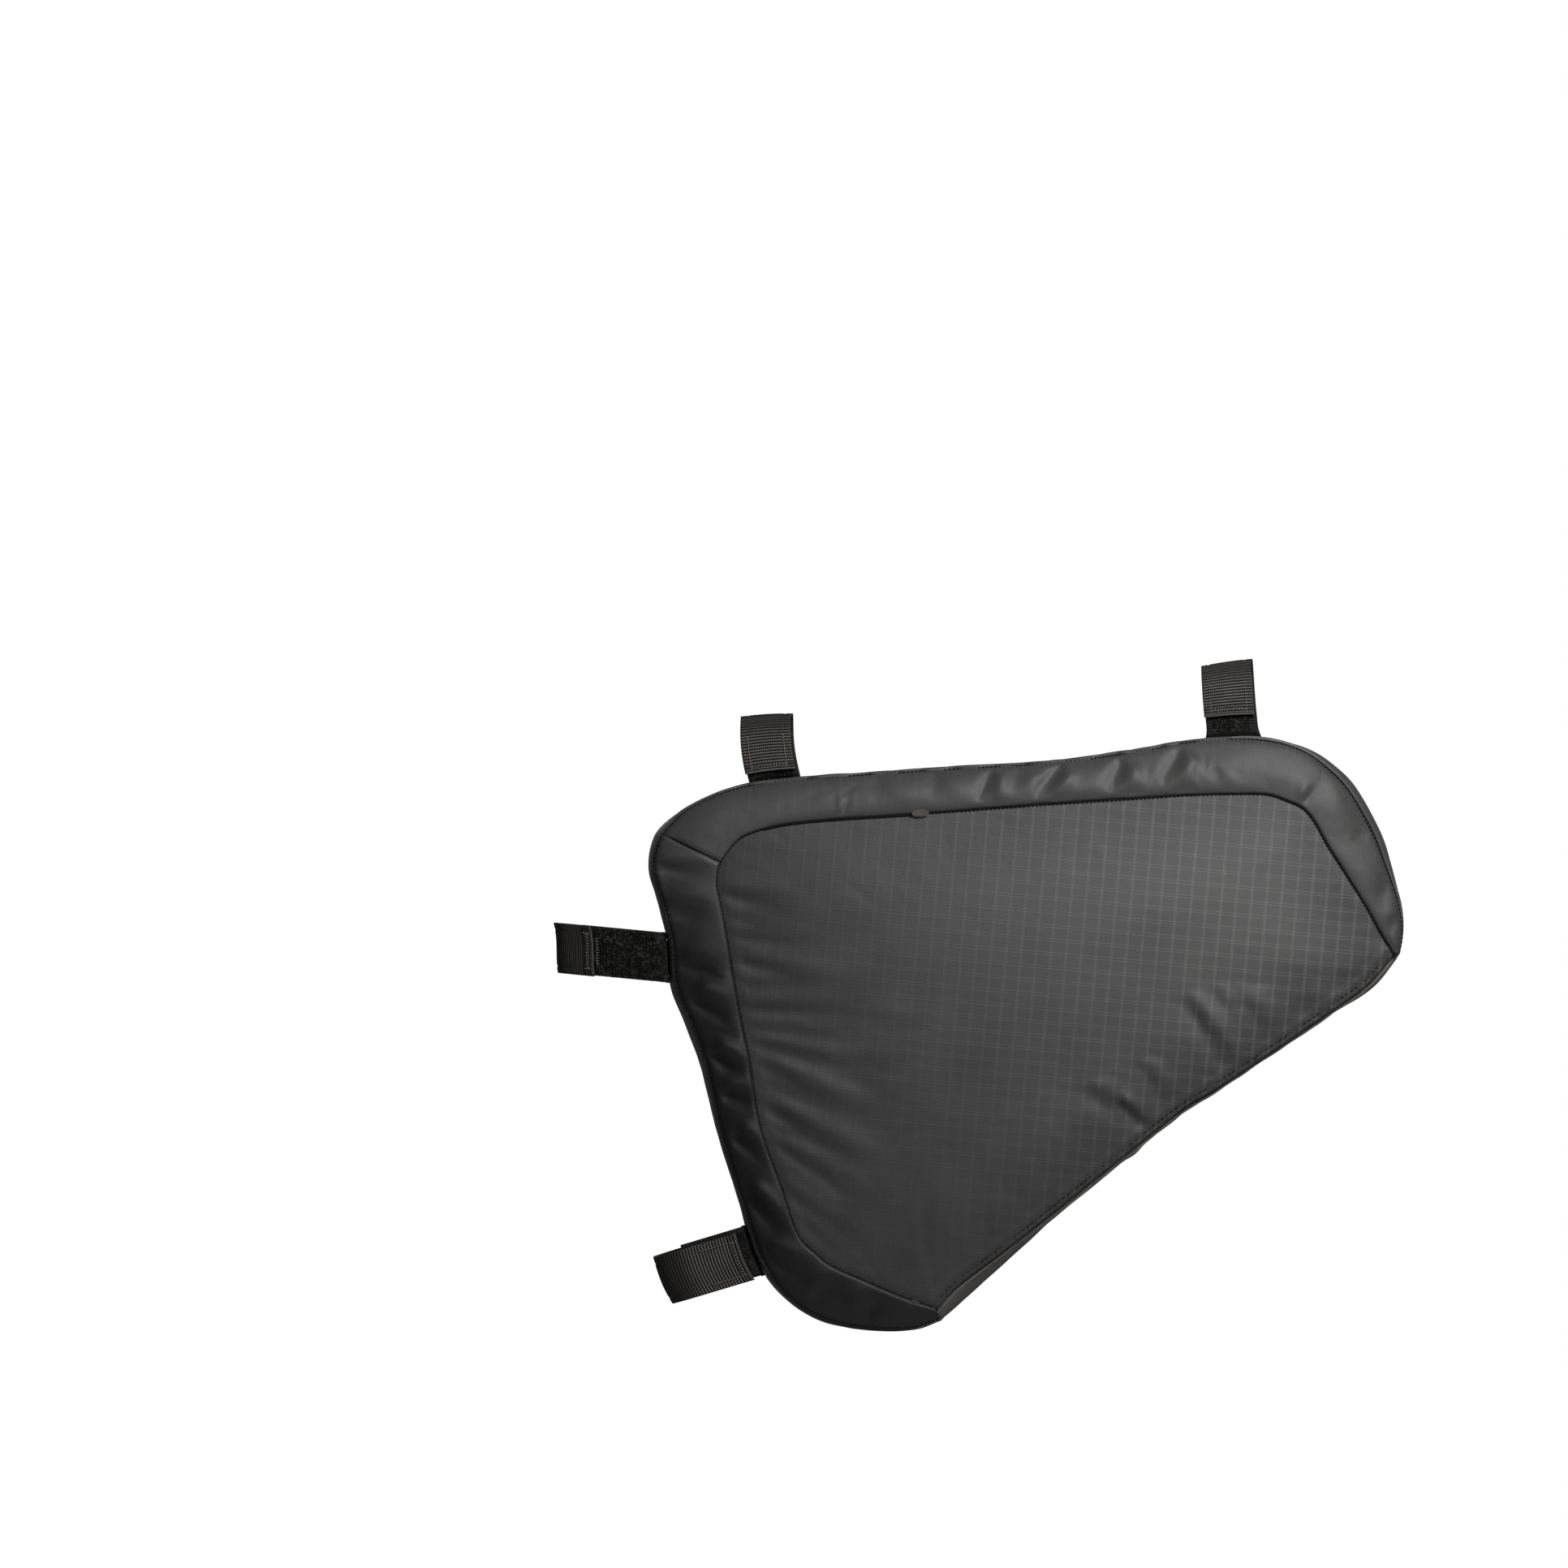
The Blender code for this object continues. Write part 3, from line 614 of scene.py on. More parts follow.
BAND_WALL = 0.0012
BAND_STEP = 0.0013
BAND_JOIN = 0.423
JOIN_GAP = 0.0003
ROLL_RADIUS = 0.0013
BAND_COLUMNS = 18
REAR_FULLNESS = 1.7
TOP_FULLNESS = 2.3
ROLL_STEPS = 7
ROLL_TURN = 160
JOIN_DIP = 0.0009
JOIN_REACH = 0.0014
PUCKER_PITCH = 0.0034
PUCKER_DEPTH = 0.00016
BAND_FINER = 2
BAND_SPARE = 0.04
SEAM_DIP = 0.0007
SEAM_DIP_WIDTH = 0.0009
PUCKER_REACH = 0.0015
BAND_FOLDS = [
    Fold(0.010, 0.782, -8, 0.075, 0.0026, 0.0022, 0.0),
    Fold(0.022, 0.708, -6, 0.070, 0.0034, 0.0020, 0.0),
    Fold(0.040, 0.620, -12, 0.065, 0.0030, 0.0018, 0.0),
    Fold(0.056, 0.560, -28, 0.070, 0.0034, 0.0026, 0.0),
    Fold(0.080, 0.470, -34, 0.070, 0.0030, 0.0030, 0.0),
    Fold(0.098, 0.400, -14, 0.065, 0.0030, 0.0026, 0.0),
    Fold(0.112, 0.330, -38, 0.070, 0.0032, 0.0024, 0.0),
    Fold(0.124, 0.235, -48, 0.080, 0.0030, 0.0028, 0.0),
    Fold(0.150, 0.130, -30, 0.075, 0.0032, 0.0020, 0.0),
    Fold(0.215, 0.060, 20, 0.070, 0.0030, 0.0014, 0.0),
    Fold(0.280, 0.020, 45, 0.065, 0.0034, 0.0014, 0.0),
    Fold(0.257, 0.872, 74, 0.024, 0.0009, 0.0008, 0.0),
    Fold(0.300, 0.935, -70, 0.050, 0.0034, 0.0007, 0.0),
    Fold(0.375, 0.945, -78, 0.050, 0.0036, 0.0009, 0.0),
    Fold(0.453, 0.950, -105, 0.055, 0.0026, 0.0019, 0.0),
    Fold(0.492, 0.955, -112, 0.050, 0.0034, 0.0009, 0.0),
    Fold(0.549, 0.962, -128, 0.070, 0.0026, 0.0024, 0.0),
    Fold(0.627, 0.966, -113, 0.065, 0.0032, 0.0022, 0.0),
    Fold(0.706, 0.988, -121, 0.075, 0.0030, 0.0023, 0.0),
    Fold(0.752, 0.950, -108, 0.035, 0.0030, 0.0008, 0.0),
    Fold(0.866, 0.892, 52, 0.030, 0.0016, 0.0012, 0.0),
    Fold(0.890, 0.945, -97, 0.070, 0.0034, 0.0007, 0.0),
    Fold(0.972, 0.858, -150, 0.060, 0.0050, 0.0013, 0.0),
    Fold(0.984, 0.770, -118, 0.080, 0.0036, 0.0012, 0.0),
    Fold(0.950, 0.905, -79, 0.170, 0.0070, 0.0022, 0.0),
    Fold(0.990, 0.700, -125, 0.040, 0.0022, 0.0009, 0.0),
]


def grid_faces(rows, columns):
    """Quads of a grid of points, row after row."""
    return [
        (i * columns + k, (i + 1) * columns + k, (i + 1) * columns + k + 1, i * columns + k + 1)
        for i in range(rows - 1)
        for k in range(columns - 1)
    ]


def band_points(first, last, fullness):
    """A band's net between two lengths along the rim, and the puckers beside its seams."""
    u = rim.spaced(BAND_STEP, first, last)
    length = np.interp(u, rim.fine, rim.lengths)
    outer, inner = rim.seam(u), rim.inner(u)
    width = np.linalg.norm(inner - outer, axis=1)
    way = unit(inner - outer)
    rise = rim.column("rise", u, BAND_RISE)
    radius = np.minimum(ROLL_RADIUS, 0.3 * width)
    pucker = PUCKER_DEPTH * (1 + ripple(np.stack([length, length], -1), 0.006, 4.0))
    from_join = np.abs(length - join)
    dip = JOIN_DIP * np.exp(-((from_join / JOIN_REACH) ** 2))
    net, gathers = [], []
    for across in np.linspace(0, 1, BAND_COLUMNS) ** 1.5:
        xz = outer + way * (across * (width - radius))[:, None]
        soft = 3.2 * across * (1 - across) + 0.2
        swelling = 0.0004 * ripple(xz, 0.016, 5.0) + 0.00012 * ripple(xz, 0.005, 9.0)
        lift = (1 - (1 - across) ** fullness) * rise
        lift = lift - SEAM_DIP * np.exp(-((across * width / SEAM_DIP_WIDTH) ** 2))
        folded = soft * (press(BAND_FOLDS, xz) + swelling)
        net.append((xz, SIDE_SEAT + lift + folded - dip * min(1.0, 4 * across)))
        gathers.append(pucker * np.exp(-across * width / PUCKER_REACH))
    edge_xz, edge_height = net[-1]
    for i in range(1, ROLL_STEPS + 1):
        angle = radians(90 - ROLL_TURN * i / ROLL_STEPS)
        xz = edge_xz + way * (radius * cos(angle))[:, None]
        net.append((xz, edge_height - radius * (1 - sin(angle))))
        gathers.append(pucker * 0.5 * (1 - sin(angle)))
    points = np.stack([np.stack([xz[:, 0], -height, xz[:, 1]], -1) for xz, height in net], axis=1)
    return points, np.stack(gathers, axis=1)


def add_bands(name, first, last, fullness, material, node):
    """Both sides' bands between two lengths along the rim, settled as cloth once."""
    net, gathers = band_points(first, last, fullness)
    rows, columns = net.shape[:2]
    points = net.reshape(-1, 3)
    faces = facing(points, grid_faces(rows, columns), (0, -1, 0))
    held = np.zeros((rows, columns), bool)
    held[:, 0] = held[:, -3:] = held[0] = held[-1] = True
    settled = as_cloth(points, faces, held.ravel(), np.ones(len(points)), BAND_SPARE)
    settled = settled.reshape(rows, columns, 3)
    finer = np.linspace(0, rows - 1, BAND_FINER * (rows - 1) + 1)
    settled = through(settled, finer)
    settled[:, :, 1] -= through(gathers, finer) * np.cos(2 * pi * finer * BAND_STEP / PUCKER_PITCH)[:, None]
    points = settled.reshape(-1, 3)
    faces = facing(points, grid_faces(len(finer), columns), (0, -1, 0))
    for side_name, side in (("right", -1), ("left", 1)):
        here = points * (1, -side, 1)
        band = add_piece(
            f"{name}_{side_name}", here, facing(here, faces, (0, side, 0)), material,
            BAND_WALL, [f"{node}_{side_name}"],
        )


NYLON_PITCH = 0.0005
NYLON_WIDTH = 0.0002


def nylon(name, dark, light, tint, mottle=1.0, painted_light=0.0):
    """Smooth coated nylon with a soft sheen, a very fine weave, slubs and faint scuffs. It may be
    painted paler towards its upper end, as painted light from above."""
    finish = Finish(name, 0.5, 0.31, sheen=0.06, sheen_roughness=0.4)
    spot = finish.place()
    x, _, z = finish.axes(finish.place(GRID_TURN))
    worn = finish.cloud(spot, 70.0, 4.0)
    specks = finish.cloud(spot, 3000.0, 2.0)
    fine = lines(x, NYLON_PITCH, NYLON_WIDTH) + lines(z, NYLON_PITCH, NYLON_WIDTH)
    slubs = lines(x, GRID_ACROSS, 0.0003) * 0.5 + lines(z, GRID_UP, 0.00025) * 0.3
    _, _, raised = finish.axes(spot)
    # Painted light: paler towards the upper end, as light from above falls on it, by the given share.
    upper = held_between((raised + 0.095) * 20.0, 0.0, 1.0)
    tone = (worn * 0.5 + specks * 0.25 + slubs * 0.30) * mottle + upper * painted_light
    base = finish.blend(tone * 0.85, dark, light)
    finish.set("Base Color", finish.blend(finish.cloud(spot, 18.0, 2.0) * 0.5, base, tint))
    finish.set("Roughness", 0.44 + worn * 0.14 + specks * 0.05)
    weave = finish.bump(fine * 0.3 + specks * 0.4, 0.00007, 0.7)
    finish.set("Normal", finish.bump(worn + slubs * 0.2, 0.00035, 0.5, weave))
    return finish.material


# Painted shade: the rear bands' nylon is a much darker copy of the top bands', for bands that slope away
# from the light. Its upper end is painted paler as light from above.
shaded_rear_nylon = nylon(
    "rear_band_nylon", (0.0030, 0.0028, 0.0031, 1), (0.050, 0.048, 0.050, 1), (0.008, 0.0073, 0.008, 1),
    mottle=0.26, painted_light=1.15,
)
top_nylon = nylon(
    "top_band_nylon", (0.023, 0.023, 0.023, 1), (0.070, 0.069, 0.068, 1), (0.040, 0.039, 0.038, 1)
)
join = BAND_JOIN * rim.length
add_bands("band", 0.0, join - JOIN_GAP / 2, REAR_FULLNESS, shaded_rear_nylon, "band_rear")
add_bands("top_band", join + JOIN_GAP / 2, rim.length, TOP_FULLNESS, top_nylon, "band_top")

# Gussets. The real bag's width comes from two strips of cloth: a smooth nylon one round the rim
# and a ripstop one along the underside. Both bow out between their seams and pucker beside them.

GUSSET_WALL = 0.0012
GUSSET_STEP = 0.0014
GUSSET_FLAT = 0.84
GUSSET_LIP = 0.0019
LIP_PLACE = 0.93
LIP_WIDTH = 0.035
GUSSET_SWELL = 0.0003
RIM_GUSSET_FOLD = 0.00035
UNDERSIDE_WAVE = 0.0009
SLACK_MIDDLE = 0.046
SLACK_HALF = 0.030


def gusset_drop(across):
    """Share of the crown that a gusset has dropped at a share of its half width."""
    shares = [0.0, 0.5, 0.65, 0.8, 0.9, 1.0]
    return np.interp(np.abs(across), shares, [0.0, 0.0, 0.17, 0.42, 0.68, 1.0])


gusset_half = np.concatenate([np.linspace(0, GUSSET_FLAT, 12), np.linspace(GUSSET_FLAT, 1, 11)[1:]])
gusset_places = np.concatenate([-gusset_half[:0:-1], gusset_half])


def add_gusset(name, edge, edge_column, wave, material, node, ends=None):
    """A gusset along an edge, carried on to the two ends where they are given."""
    u = edge.spaced(GUSSET_STEP)
    centre = edge.point(u)
    if ends is not None:
        u = np.concatenate([u[:1], u, u[-1:]])
        centre = np.concatenate([ends[:1], centre, ends[1:]])
    length = np.concatenate([[0], np.cumsum(np.linalg.norm(np.diff(centre, axis=0), axis=1))])
    inward = edge.inward(u)
    crown = edge.column(edge_column, u, GUSSET_BULGE)
    columns = []
    for across in gusset_places:
        seen = np.stack([length, np.full(len(u), across * GUSSET_HALF)], -1)
        slack = 0.25 + np.exp(-(((centre[:, 0] - SLACK_MIDDLE) / SLACK_HALF) ** 2))
        waves = 1.6 * ripple(seen, 0.010, 11.0) * slack * smooth_step(0.2, 0.8, abs(across))
        inset = crown * gusset_drop(across) + wave * waves + GUSSET_SWELL * ripple(seen, 0.012, 2.0)
        xz = centre + inward * inset[:, None]
        lip = GUSSET_LIP * np.exp(-(((abs(across) - LIP_PLACE) / LIP_WIDTH) ** 2)) * np.sign(across)
        columns.append(np.stack([xz[:, 0], np.full(len(u), across * GUSSET_HALF + lip), xz[:, 1]], -1))
    points = np.stack(columns, axis=1).reshape(-1, 3)
    middle = len(u) // 2
    out = -inward[middle]
    faces = facing(points, grid_faces(len(u), len(gusset_places)), (out[0], 0, out[1]))
    gusset = add_piece(name, points, faces, material, GUSSET_WALL, [node])


gusset_nylon = nylon(
    "gusset_nylon", (0.030, 0.029, 0.030, 1), (0.075, 0.073, 0.072, 1), (0.050, 0.048, 0.047, 1)
)
underside_cloth = ripstop(
    "underside_ripstop", (0.018, 0.017, 0.0165, 1), (0.150, 0.138, 0.127, 1), edge_paling=0.42
)
add_gusset(
    "gusset_round_the_rim", rim, "crown", RIM_GUSSET_FOLD, gusset_nylon, "rim_gusset"
)
add_gusset(
    "gusset_below", underside, "seam", UNDERSIDE_WAVE, underside_cloth,
    "underside_gusset", rim.point(np.array([0.0, rim.last])),
)

# Seams. The real seams are lockstitched in black thread that sinks into the cloth: one round the
# inner edge of the bands, one where the bands meet the gusset, one across the bands' join and a
# topstitch along the underside. A paler bartack closes the end of the zip's cover at the top, and
# a paler knot the low tip.

STITCH_PITCH = 0.0017
STITCH_LENGTH = 0.0013
THREAD_RADIUS = 0.00024
INNER_THREAD_RADIUS = 0.00036
SEAM_STEP = 0.0015
INNER_SEAM_SUNK = 0.0014
OUTER_SEAM_SUNK = 0.0004
BESIDE_SEAM = 0.0001
CAPSULE_SIDES = 6
CAPSULE_RINGS = [(-0.5, 0.35), (-0.36, 1.0), (0.0, 1.15), (0.36, 1.0), (0.5, 0.35)]


def thread(name, colour):
    """Twisted sewing thread, a little fuzzy."""
    finish = Finish(name, 0.8, 0.12, sheen=0.04)
    fuzz = finish.cloud(finish.place(), 4000.0, 2.0)
    dark = tuple(0.6 * c for c in colour) + (1.0,)
    finish.set("Base Color", finish.blend(fuzz, dark, tuple(1.4 * c for c in colour) + (1.0,)))
    finish.set("Normal", finish.bump(fuzz, 0.00006))
    return finish.material


def capsules(starts, ends, radius):
    """A short round-ended thread from each start to each end, as one mesh."""
    points, faces = [], []
    for start, end in zip(starts, ends):
        way = end - start
        side = unit(np.cross(way, (0.3, 1.0, 0.2)))
        top = unit(np.cross(side, way))
        first = len(points)
        for place, size in CAPSULE_RINGS:
            middle = (start + end) / 2 + way * place
            for k in range(CAPSULE_SIDES):
                angle = 2 * pi * k / CAPSULE_SIDES
                points.append(middle + radius * size * (cos(angle) * side + sin(angle) * top))
        for ring in range(len(CAPSULE_RINGS) - 1):
            for k in range(CAPSULE_SIDES):
                a, b = ring * CAPSULE_SIDES + k, ring * CAPSULE_SIDES + (k + 1) % CAPSULE_SIDES
                faces.append((first + a, first + b, first + b + CAPSULE_SIDES, first + a + CAPSULE_SIDES))
        last = first + (len(CAPSULE_RINGS) - 1) * CAPSULE_SIDES
        faces.append(tuple(first + k for k in reversed(range(CAPSULE_SIDES))))
        faces.append(tuple(last + k for k in range(CAPSULE_SIDES)))
    return np.array(points), faces


def seam_route(route, pitch, share):
    """Starts and ends of stitches along a row of 3-D points."""
    steps = np.linalg.norm(np.diff(route, axis=0), axis=1)
    lengths = np.concatenate([[0], np.cumsum(steps)])
    starts = np.arange(0.4 * pitch, lengths[-1] - pitch, pitch)
    at = lambda places: np.stack([np.interp(places, lengths, route[:, k]) for k in range(3)], -1)
    return at(starts), at(starts + share)


black_thread = thread("black_thread", (0.005, 0.005, 0.005))
grey_thread = thread("grey_thread", (0.11, 0.10, 0.095))


def add_seam(name, route, material, slot, radius=THREAD_RADIUS, pitch=STITCH_PITCH, length=STITCH_LENGTH):
    starts, ends = seam_route(route, pitch, length)
    points, faces = capsules(starts, ends, radius)
    return add_piece(name, points, faces, material)


for side_name, side in (("right", -1), ("left", 1)):
    u = rim.spaced(SEAM_STEP)
    inner = rim.inner(u)
    height = SIDE_SEAT + rim.column("rise", u, BAND_RISE) - INNER_SEAM_SUNK
    towards = unit(rim.seam(u) - inner)
    groove = inner - towards * BESIDE_SEAM
    route = np.stack([groove[:, 0], side * height, groove[:, 1]], -1)
    add_seam(f"inner_seam_{side_name}", route, black_thread, f"ripstop_{side_name}", INNER_THREAD_RADIUS)
    outer = rim.seam(u) - rim.inward(u) * BESIDE_SEAM
    route = np.stack([outer[:, 0], np.full(len(u), side * (SIDE_SEAT - OUTER_SEAM_SUNK)), outer[:, 1]], -1)
    add_seam(f"outer_seam_{side_name}", route, black_thread, "rim_gusset_nylon")


def sewn_line(name, xz, height, side, material, slot, **sizes):
    """A row of stitches on one side along points of the side view at given heights."""
    route = np.stack([xz[:, 0], np.full(len(xz), side) * height, xz[:, 1]], -1)
    return add_seam(f"{name}_{'right' if side < 0 else 'left'}", route, material, slot, **sizes)


ZIP_START = -0.0976
ZIP_END = -0.0369
ZIP_EDGE_SUNK = 0.0012
JOIN_SEAM_SUNK = 0.0007
PROUD = 0.0001
BARTACK_THREADS = 12
BARTACK_HALF = (0.0031, 0.0016)
BARTACK_PAST_ZIP = 0.0033
BARTACK_OUTER_RISE = 0.0006
BARTACK_INNER_RISE = -0.0003
BARTACK_THREAD_RADIUS = 0.00016
KNOT_PLACE = 0.0062
KNOT_LENGTH = 0.004

top_places = rim.at(np.linspace(join, 0.75 * rim.length, 400))
top_inner = rim.inner(top_places)
zip_u = top_places[(top_inner[:, 0] > ZIP_START) & (top_inner[:, 0] < ZIP_END)]
zip_xz = rim.inner(zip_u) + rim.inward(zip_u) * 0.0003
join_u = np.array([rim.at(join)])
join_from, join_to = rim.seam(join_u)[0], rim.inner(join_u)[0]
join_across = np.linspace(0.03, 0.96, 20)
join_lift = (1 - (1 - join_across) ** TOP_FULLNESS) * rim.column("rise", join_u, BAND_RISE)[0]
hem_u = underside.spaced(0.002, 0.004, underside.length - 0.004)
hem_xz = underside.seam(hem_u) + underside.inward(hem_u) * TOPSTITCH_INSET
hem_nearest = np.sqrt(((hem_xz[:, None] - sheet_xz[None]) ** 2).sum(-1)).argmin(1)
knot_u = rim.at(KNOT_PLACE + np.linspace(0, KNOT_LENGTH, 8))
knot_height = SIDE_SEAT + rim.column("rise", knot_u, BAND_RISE) + PROUD

for side in (-1, 1):
    seat = SIDE_SEAT + BAND_RISE
    sewn_line(
        "zip_edge", zip_xz, seat - ZIP_EDGE_SUNK, side, black_thread, "ripstop_right",
        radius=0.00048, pitch=0.0010, length=0.0011,
    )
    join_xz = join_from + join_across[:, None] * (join_to - join_from)
    sewn_line(
        "join_seam", join_xz, SIDE_SEAT + join_lift - JOIN_SEAM_SUNK, side, black_thread,
        "top_band_nylon_right", radius=0.0002,
    )
    sewn_line(
        "hem_topstitch", hem_xz, -panel_points[hem_nearest, 1] + PROUD, side, black_thread,
        "ripstop_right", radius=0.00018, pitch=0.0024, length=0.0017,
    )
    sewn_line(
        "tip_knot", rim.inner(knot_u), knot_height, side, grey_thread, "ripstop_right",
        radius=0.00026, pitch=0.0011, length=0.0009,
    )
    top_lengths = np.interp(top_places, rim.fine, rim.lengths)
    middle_u = np.array([rim.at(np.interp(ZIP_END + BARTACK_PAST_ZIP, top_inner[:, 0], top_lengths))])
    spot = rim.inner(middle_u)[0]
    across = rim.inward(middle_u)[0]
    along = np.array([-across[1], across[0]])
    starts, ends = [], []
    for turn in (-1, 1):
        for share in np.linspace(-1, 1, BARTACK_THREADS):
            half = BARTACK_HALF[1] * (1 - 0.8 * share**2) ** 0.5
            for sense, row in ((-1, starts), (1, ends)):
                aside = share * BARTACK_HALF[0] + sense * turn * 0.5 * half
                xz = spot + along * aside + across * sense * half
                rise = seat + (BARTACK_OUTER_RISE if sense < 0 else BARTACK_INNER_RISE)
                rise = rise + (PROUD if turn > 0 else 0.0)
                row.append(np.array([xz[0], side * rise, xz[1]]))
    points, faces = capsules(starts, ends, BARTACK_THREAD_RADIUS)
    add_piece(f"bartack_{'right' if side < 0 else 'left'}", points, faces, grey_thread)

# Straps. Each real strap is a 20 mm ribbed webbing sewn to the far side of the gusset. It comes
# over the bar and closes on a tape of loop pile that stands up on the near side. The webbing's
# free end is folded into a hem, stitched down across it and along both edges.

STRAP_WIDTH = 0.0205
WEBBING_THICKNESS = 0.0013
TAPE_THICKNESS = 0.0013
TAPE_RIB = 0.0012
TAPE_RIB_DEPTH = 0.00016
TAPE_STEP = 0.0003
LAYER_GAP = 0.0006
STRAP_SPREAD_REAR = 0.042
STRAP_SPREAD_TOP = 0.045
TOP_REACH = 0.0292
REAR_REACH = 0.042
FOOT_RISE = 0.35
FOOT_OUT = 0.0152
SEAT_GAP = 0.0004
RIB_DEPTH = 0.00020
RIB_ROWS = 6
WEB_COLUMNS = 23
HEM_LENGTH = 0.0042
HEM_LIFT = 0.0007
HEM_FADE = 0.0008
HEM_CORD = 0.0009
EDGE_STITCH = 0.355
FLARE_HEIGHT = 0.006

# A strap's place is its share of the rim's length and its heading is in degrees. Its webbing ends
# at a share of the reach. The tape's shift aside and half the pile's width are shares of the
# width. Lean, slant and turn are how far the strap bows, slopes and twists, and flare how much it
# widens at its foot. The bend's shade reaches a length down the near side.
Strap = namedtuple(
    "Strap",
    "name place heading reach spread bend webbing_end shift rib lean slant flare pile turn pile_low shade",
)
STRAPS = [
    Strap(
        "strap_top_rear", 0.504, 96.7, 0.95 * TOP_REACH, STRAP_SPREAD_TOP, bend=0.009, webbing_end=0.17,
        shift=0.03, rib=0.00120, lean=-0.0012, slant=-0.053, flare=0.0, pile=0.42, turn=0.030,
        pile_low=0.0002, shade=0.003,
    ),
    Strap(
        "strap_top_front", 0.798, 94.6, 1.08 * TOP_REACH, STRAP_SPREAD_TOP, bend=0.009, webbing_end=0.31,
        shift=0.02, rib=0.00117, lean=-0.0003, slant=0.070, flare=0.13, pile=0.38, turn=0.045,
        pile_low=0.0032, shade=0.003,
    ),
    Strap(
        "strap_rear_upper", 0.338, 174.6, 1.09 * REAR_REACH, STRAP_SPREAD_REAR, bend=0.012, webbing_end=0.67,
        shift=0.02, rib=0.00098, lean=0.0, slant=0.0, flare=0.0, pile=0.485, turn=0.0,
        pile_low=0.0004, shade=0.012,
    ),
    Strap(
        "strap_rear_lower", 0.141, 196.7, 0.905 * REAR_REACH + 0.0015, STRAP_SPREAD_REAR, bend=0.012,
        webbing_end=0.04, shift=0.09, rib=0.00126, lean=0.0, slant=0.0, flare=0.0, pile=0.44, turn=0.0,
        pile_low=0.0004, shade=0.008,
    ),
]


def webbing_end(strap):
    """Height at which the webbing's free end lies on the near side."""
    return max(strap.webbing_end * strap.reach, FOOT_RISE * strap.bend + SEAT_GAP)


def rounded(corners, step):
    """2-D points a step apart on the smooth curve through the corners, and their lengths."""
    line = through(corners, np.linspace(0, len(corners) - 1, len(corners) * 60))
    lengths = np.concatenate([[0], np.cumsum(np.linalg.norm(np.diff(line, axis=0), axis=1))])
    places = np.linspace(0, lengths[-1], max(2, round(lengths[-1] / step) + 1))
    return np.stack([np.interp(places, lengths, line[:, k]) for k in range(2)], -1), places


def foot(side, half, rise):
    """From the gusset's middle out to its edge and up to the strap's upright side."""
    flat = [(side * out, SEAT_GAP) for out in (0.0005, 0.005, 0.0095)]
    bend = [(0.0, -0.0002), (0.45, 0.12 * rise), (0.82, 0.46 * rise), (1.0, rise)]
    return flat + [(side * (FOOT_OUT + (half - FOOT_OUT) * out), SEAT_GAP + up) for out, up in bend]


def bend_points(centre_y, centre_h, radius, start, end):
    angles = np.linspace(start, end, 5)
    return [(centre_y + radius * cos(radians(a)), centre_h + radius * sin(radians(a))) for a in angles]


def on_strap(strap, place, out, height, shift=0.0):
    """Points of a strap at a share of its width, at distances from the bag's middle plane and
    heights above the rim. The strap leans and slants as the bar's slope makes it."""
    flare = 1 + strap.flare * np.clip(1 - height / FLARE_HEIGHT, 0, 1) ** 2
    beside = place * STRAP_WIDTH + shift
    aside = strap.turn * (out + strap.spread / 2)
    base = rim.point(np.array([rim.at(strap.place * rim.length + beside)]))[0]
    way = direction(strap.heading)
    across = np.array([way[1], -way[0]])
    lean = strap.lean * np.sin(pi * np.clip(height / strap.reach, 0, 1)) + (flare - 1) * beside + aside
    raised = height * (1 + strap.slant * place)
    return np.stack(
        [base[0] + way[0] * raised + across[0] * lean, out, base[1] + way[1] * raised + across[1] * lean], -1
    )


def ribbon_shell(strap, path, side, bumps, wall, shift=0.0):
    """A ribbon's closed shell: an outer net along a path of distances and heights, raised by
    bumps, a smooth inner net a wall behind it, and its edges and ends."""
    normal = unit(np.gradient(path, axis=0))[:, ::-1] * (side, -side)
    rows, nets = len(path), []
    for raise_by in (bumps, lambda place: np.full(rows, -wall)):
        columns = []
        for place in np.linspace(-0.5, 0.5, WEB_COLUMNS):
            raised = path + normal * raise_by(place)[:, None]
            columns.append(on_strap(strap, place, raised[:, 0], raised[:, 1], shift))
        nets.append(np.stack(columns, axis=1).reshape(-1, 3))
    points = np.concatenate(nets)
    below, last = rows * WEB_COLUMNS, WEB_COLUMNS - 1
    outer = grid_faces(rows, WEB_COLUMNS)
    faces = outer + [tuple(i + below for i in face[::-1]) for face in outer]
    for line in (
        [i * WEB_COLUMNS for i in range(rows)],
        [(i + 1) * WEB_COLUMNS - 1 for i in reversed(range(rows))],
        list(reversed(range(WEB_COLUMNS))),
        [below - WEB_COLUMNS + k for k in range(WEB_COLUMNS)],
    ):
        faces += [(a, b, b + below, a + below) for a, b in zip(line[1:], line)]
    a, b, c, d = (points[np.array(faces)[:, k]] for k in range(4))
    volume = (np.cross(c - a, d - b) * (a + b + c + d)).sum()
    return points, faces if volume > 0 else [face[::-1] for face in faces]


def lay_weave(piece, along, pitch, turned):
    """Gives each corner of a ribbon two pairs of values: its place across, with its place along
    counted in ribs, and how far it is past the bend over the bar, with how far into the hem."""
    weave = piece.data.uv_layers.new(name="weave")
    past = piece.data.uv_layers.new(name="past_the_turn")
    for corner in piece.data.loops:
        row, column = divmod(corner.vertex_index % (len(along) * WEB_COLUMNS), WEB_COLUMNS)
        weave.data[corner.index].uv = (column / (WEB_COLUMNS - 1), along[row] / pitch)
        hemmed = min(1.0, max(0.0, (along[row] - along[-1] + HEM_LENGTH) / HEM_FADE))
        past.data[corner.index].uv = (min(1.0, max(0.0, (along[row] - turned) / SHADE_FADE)), hemmed)


NICK_PITCH = 0.045
SHADE_FADE = 0.007
TURNED_OUT = 0.005


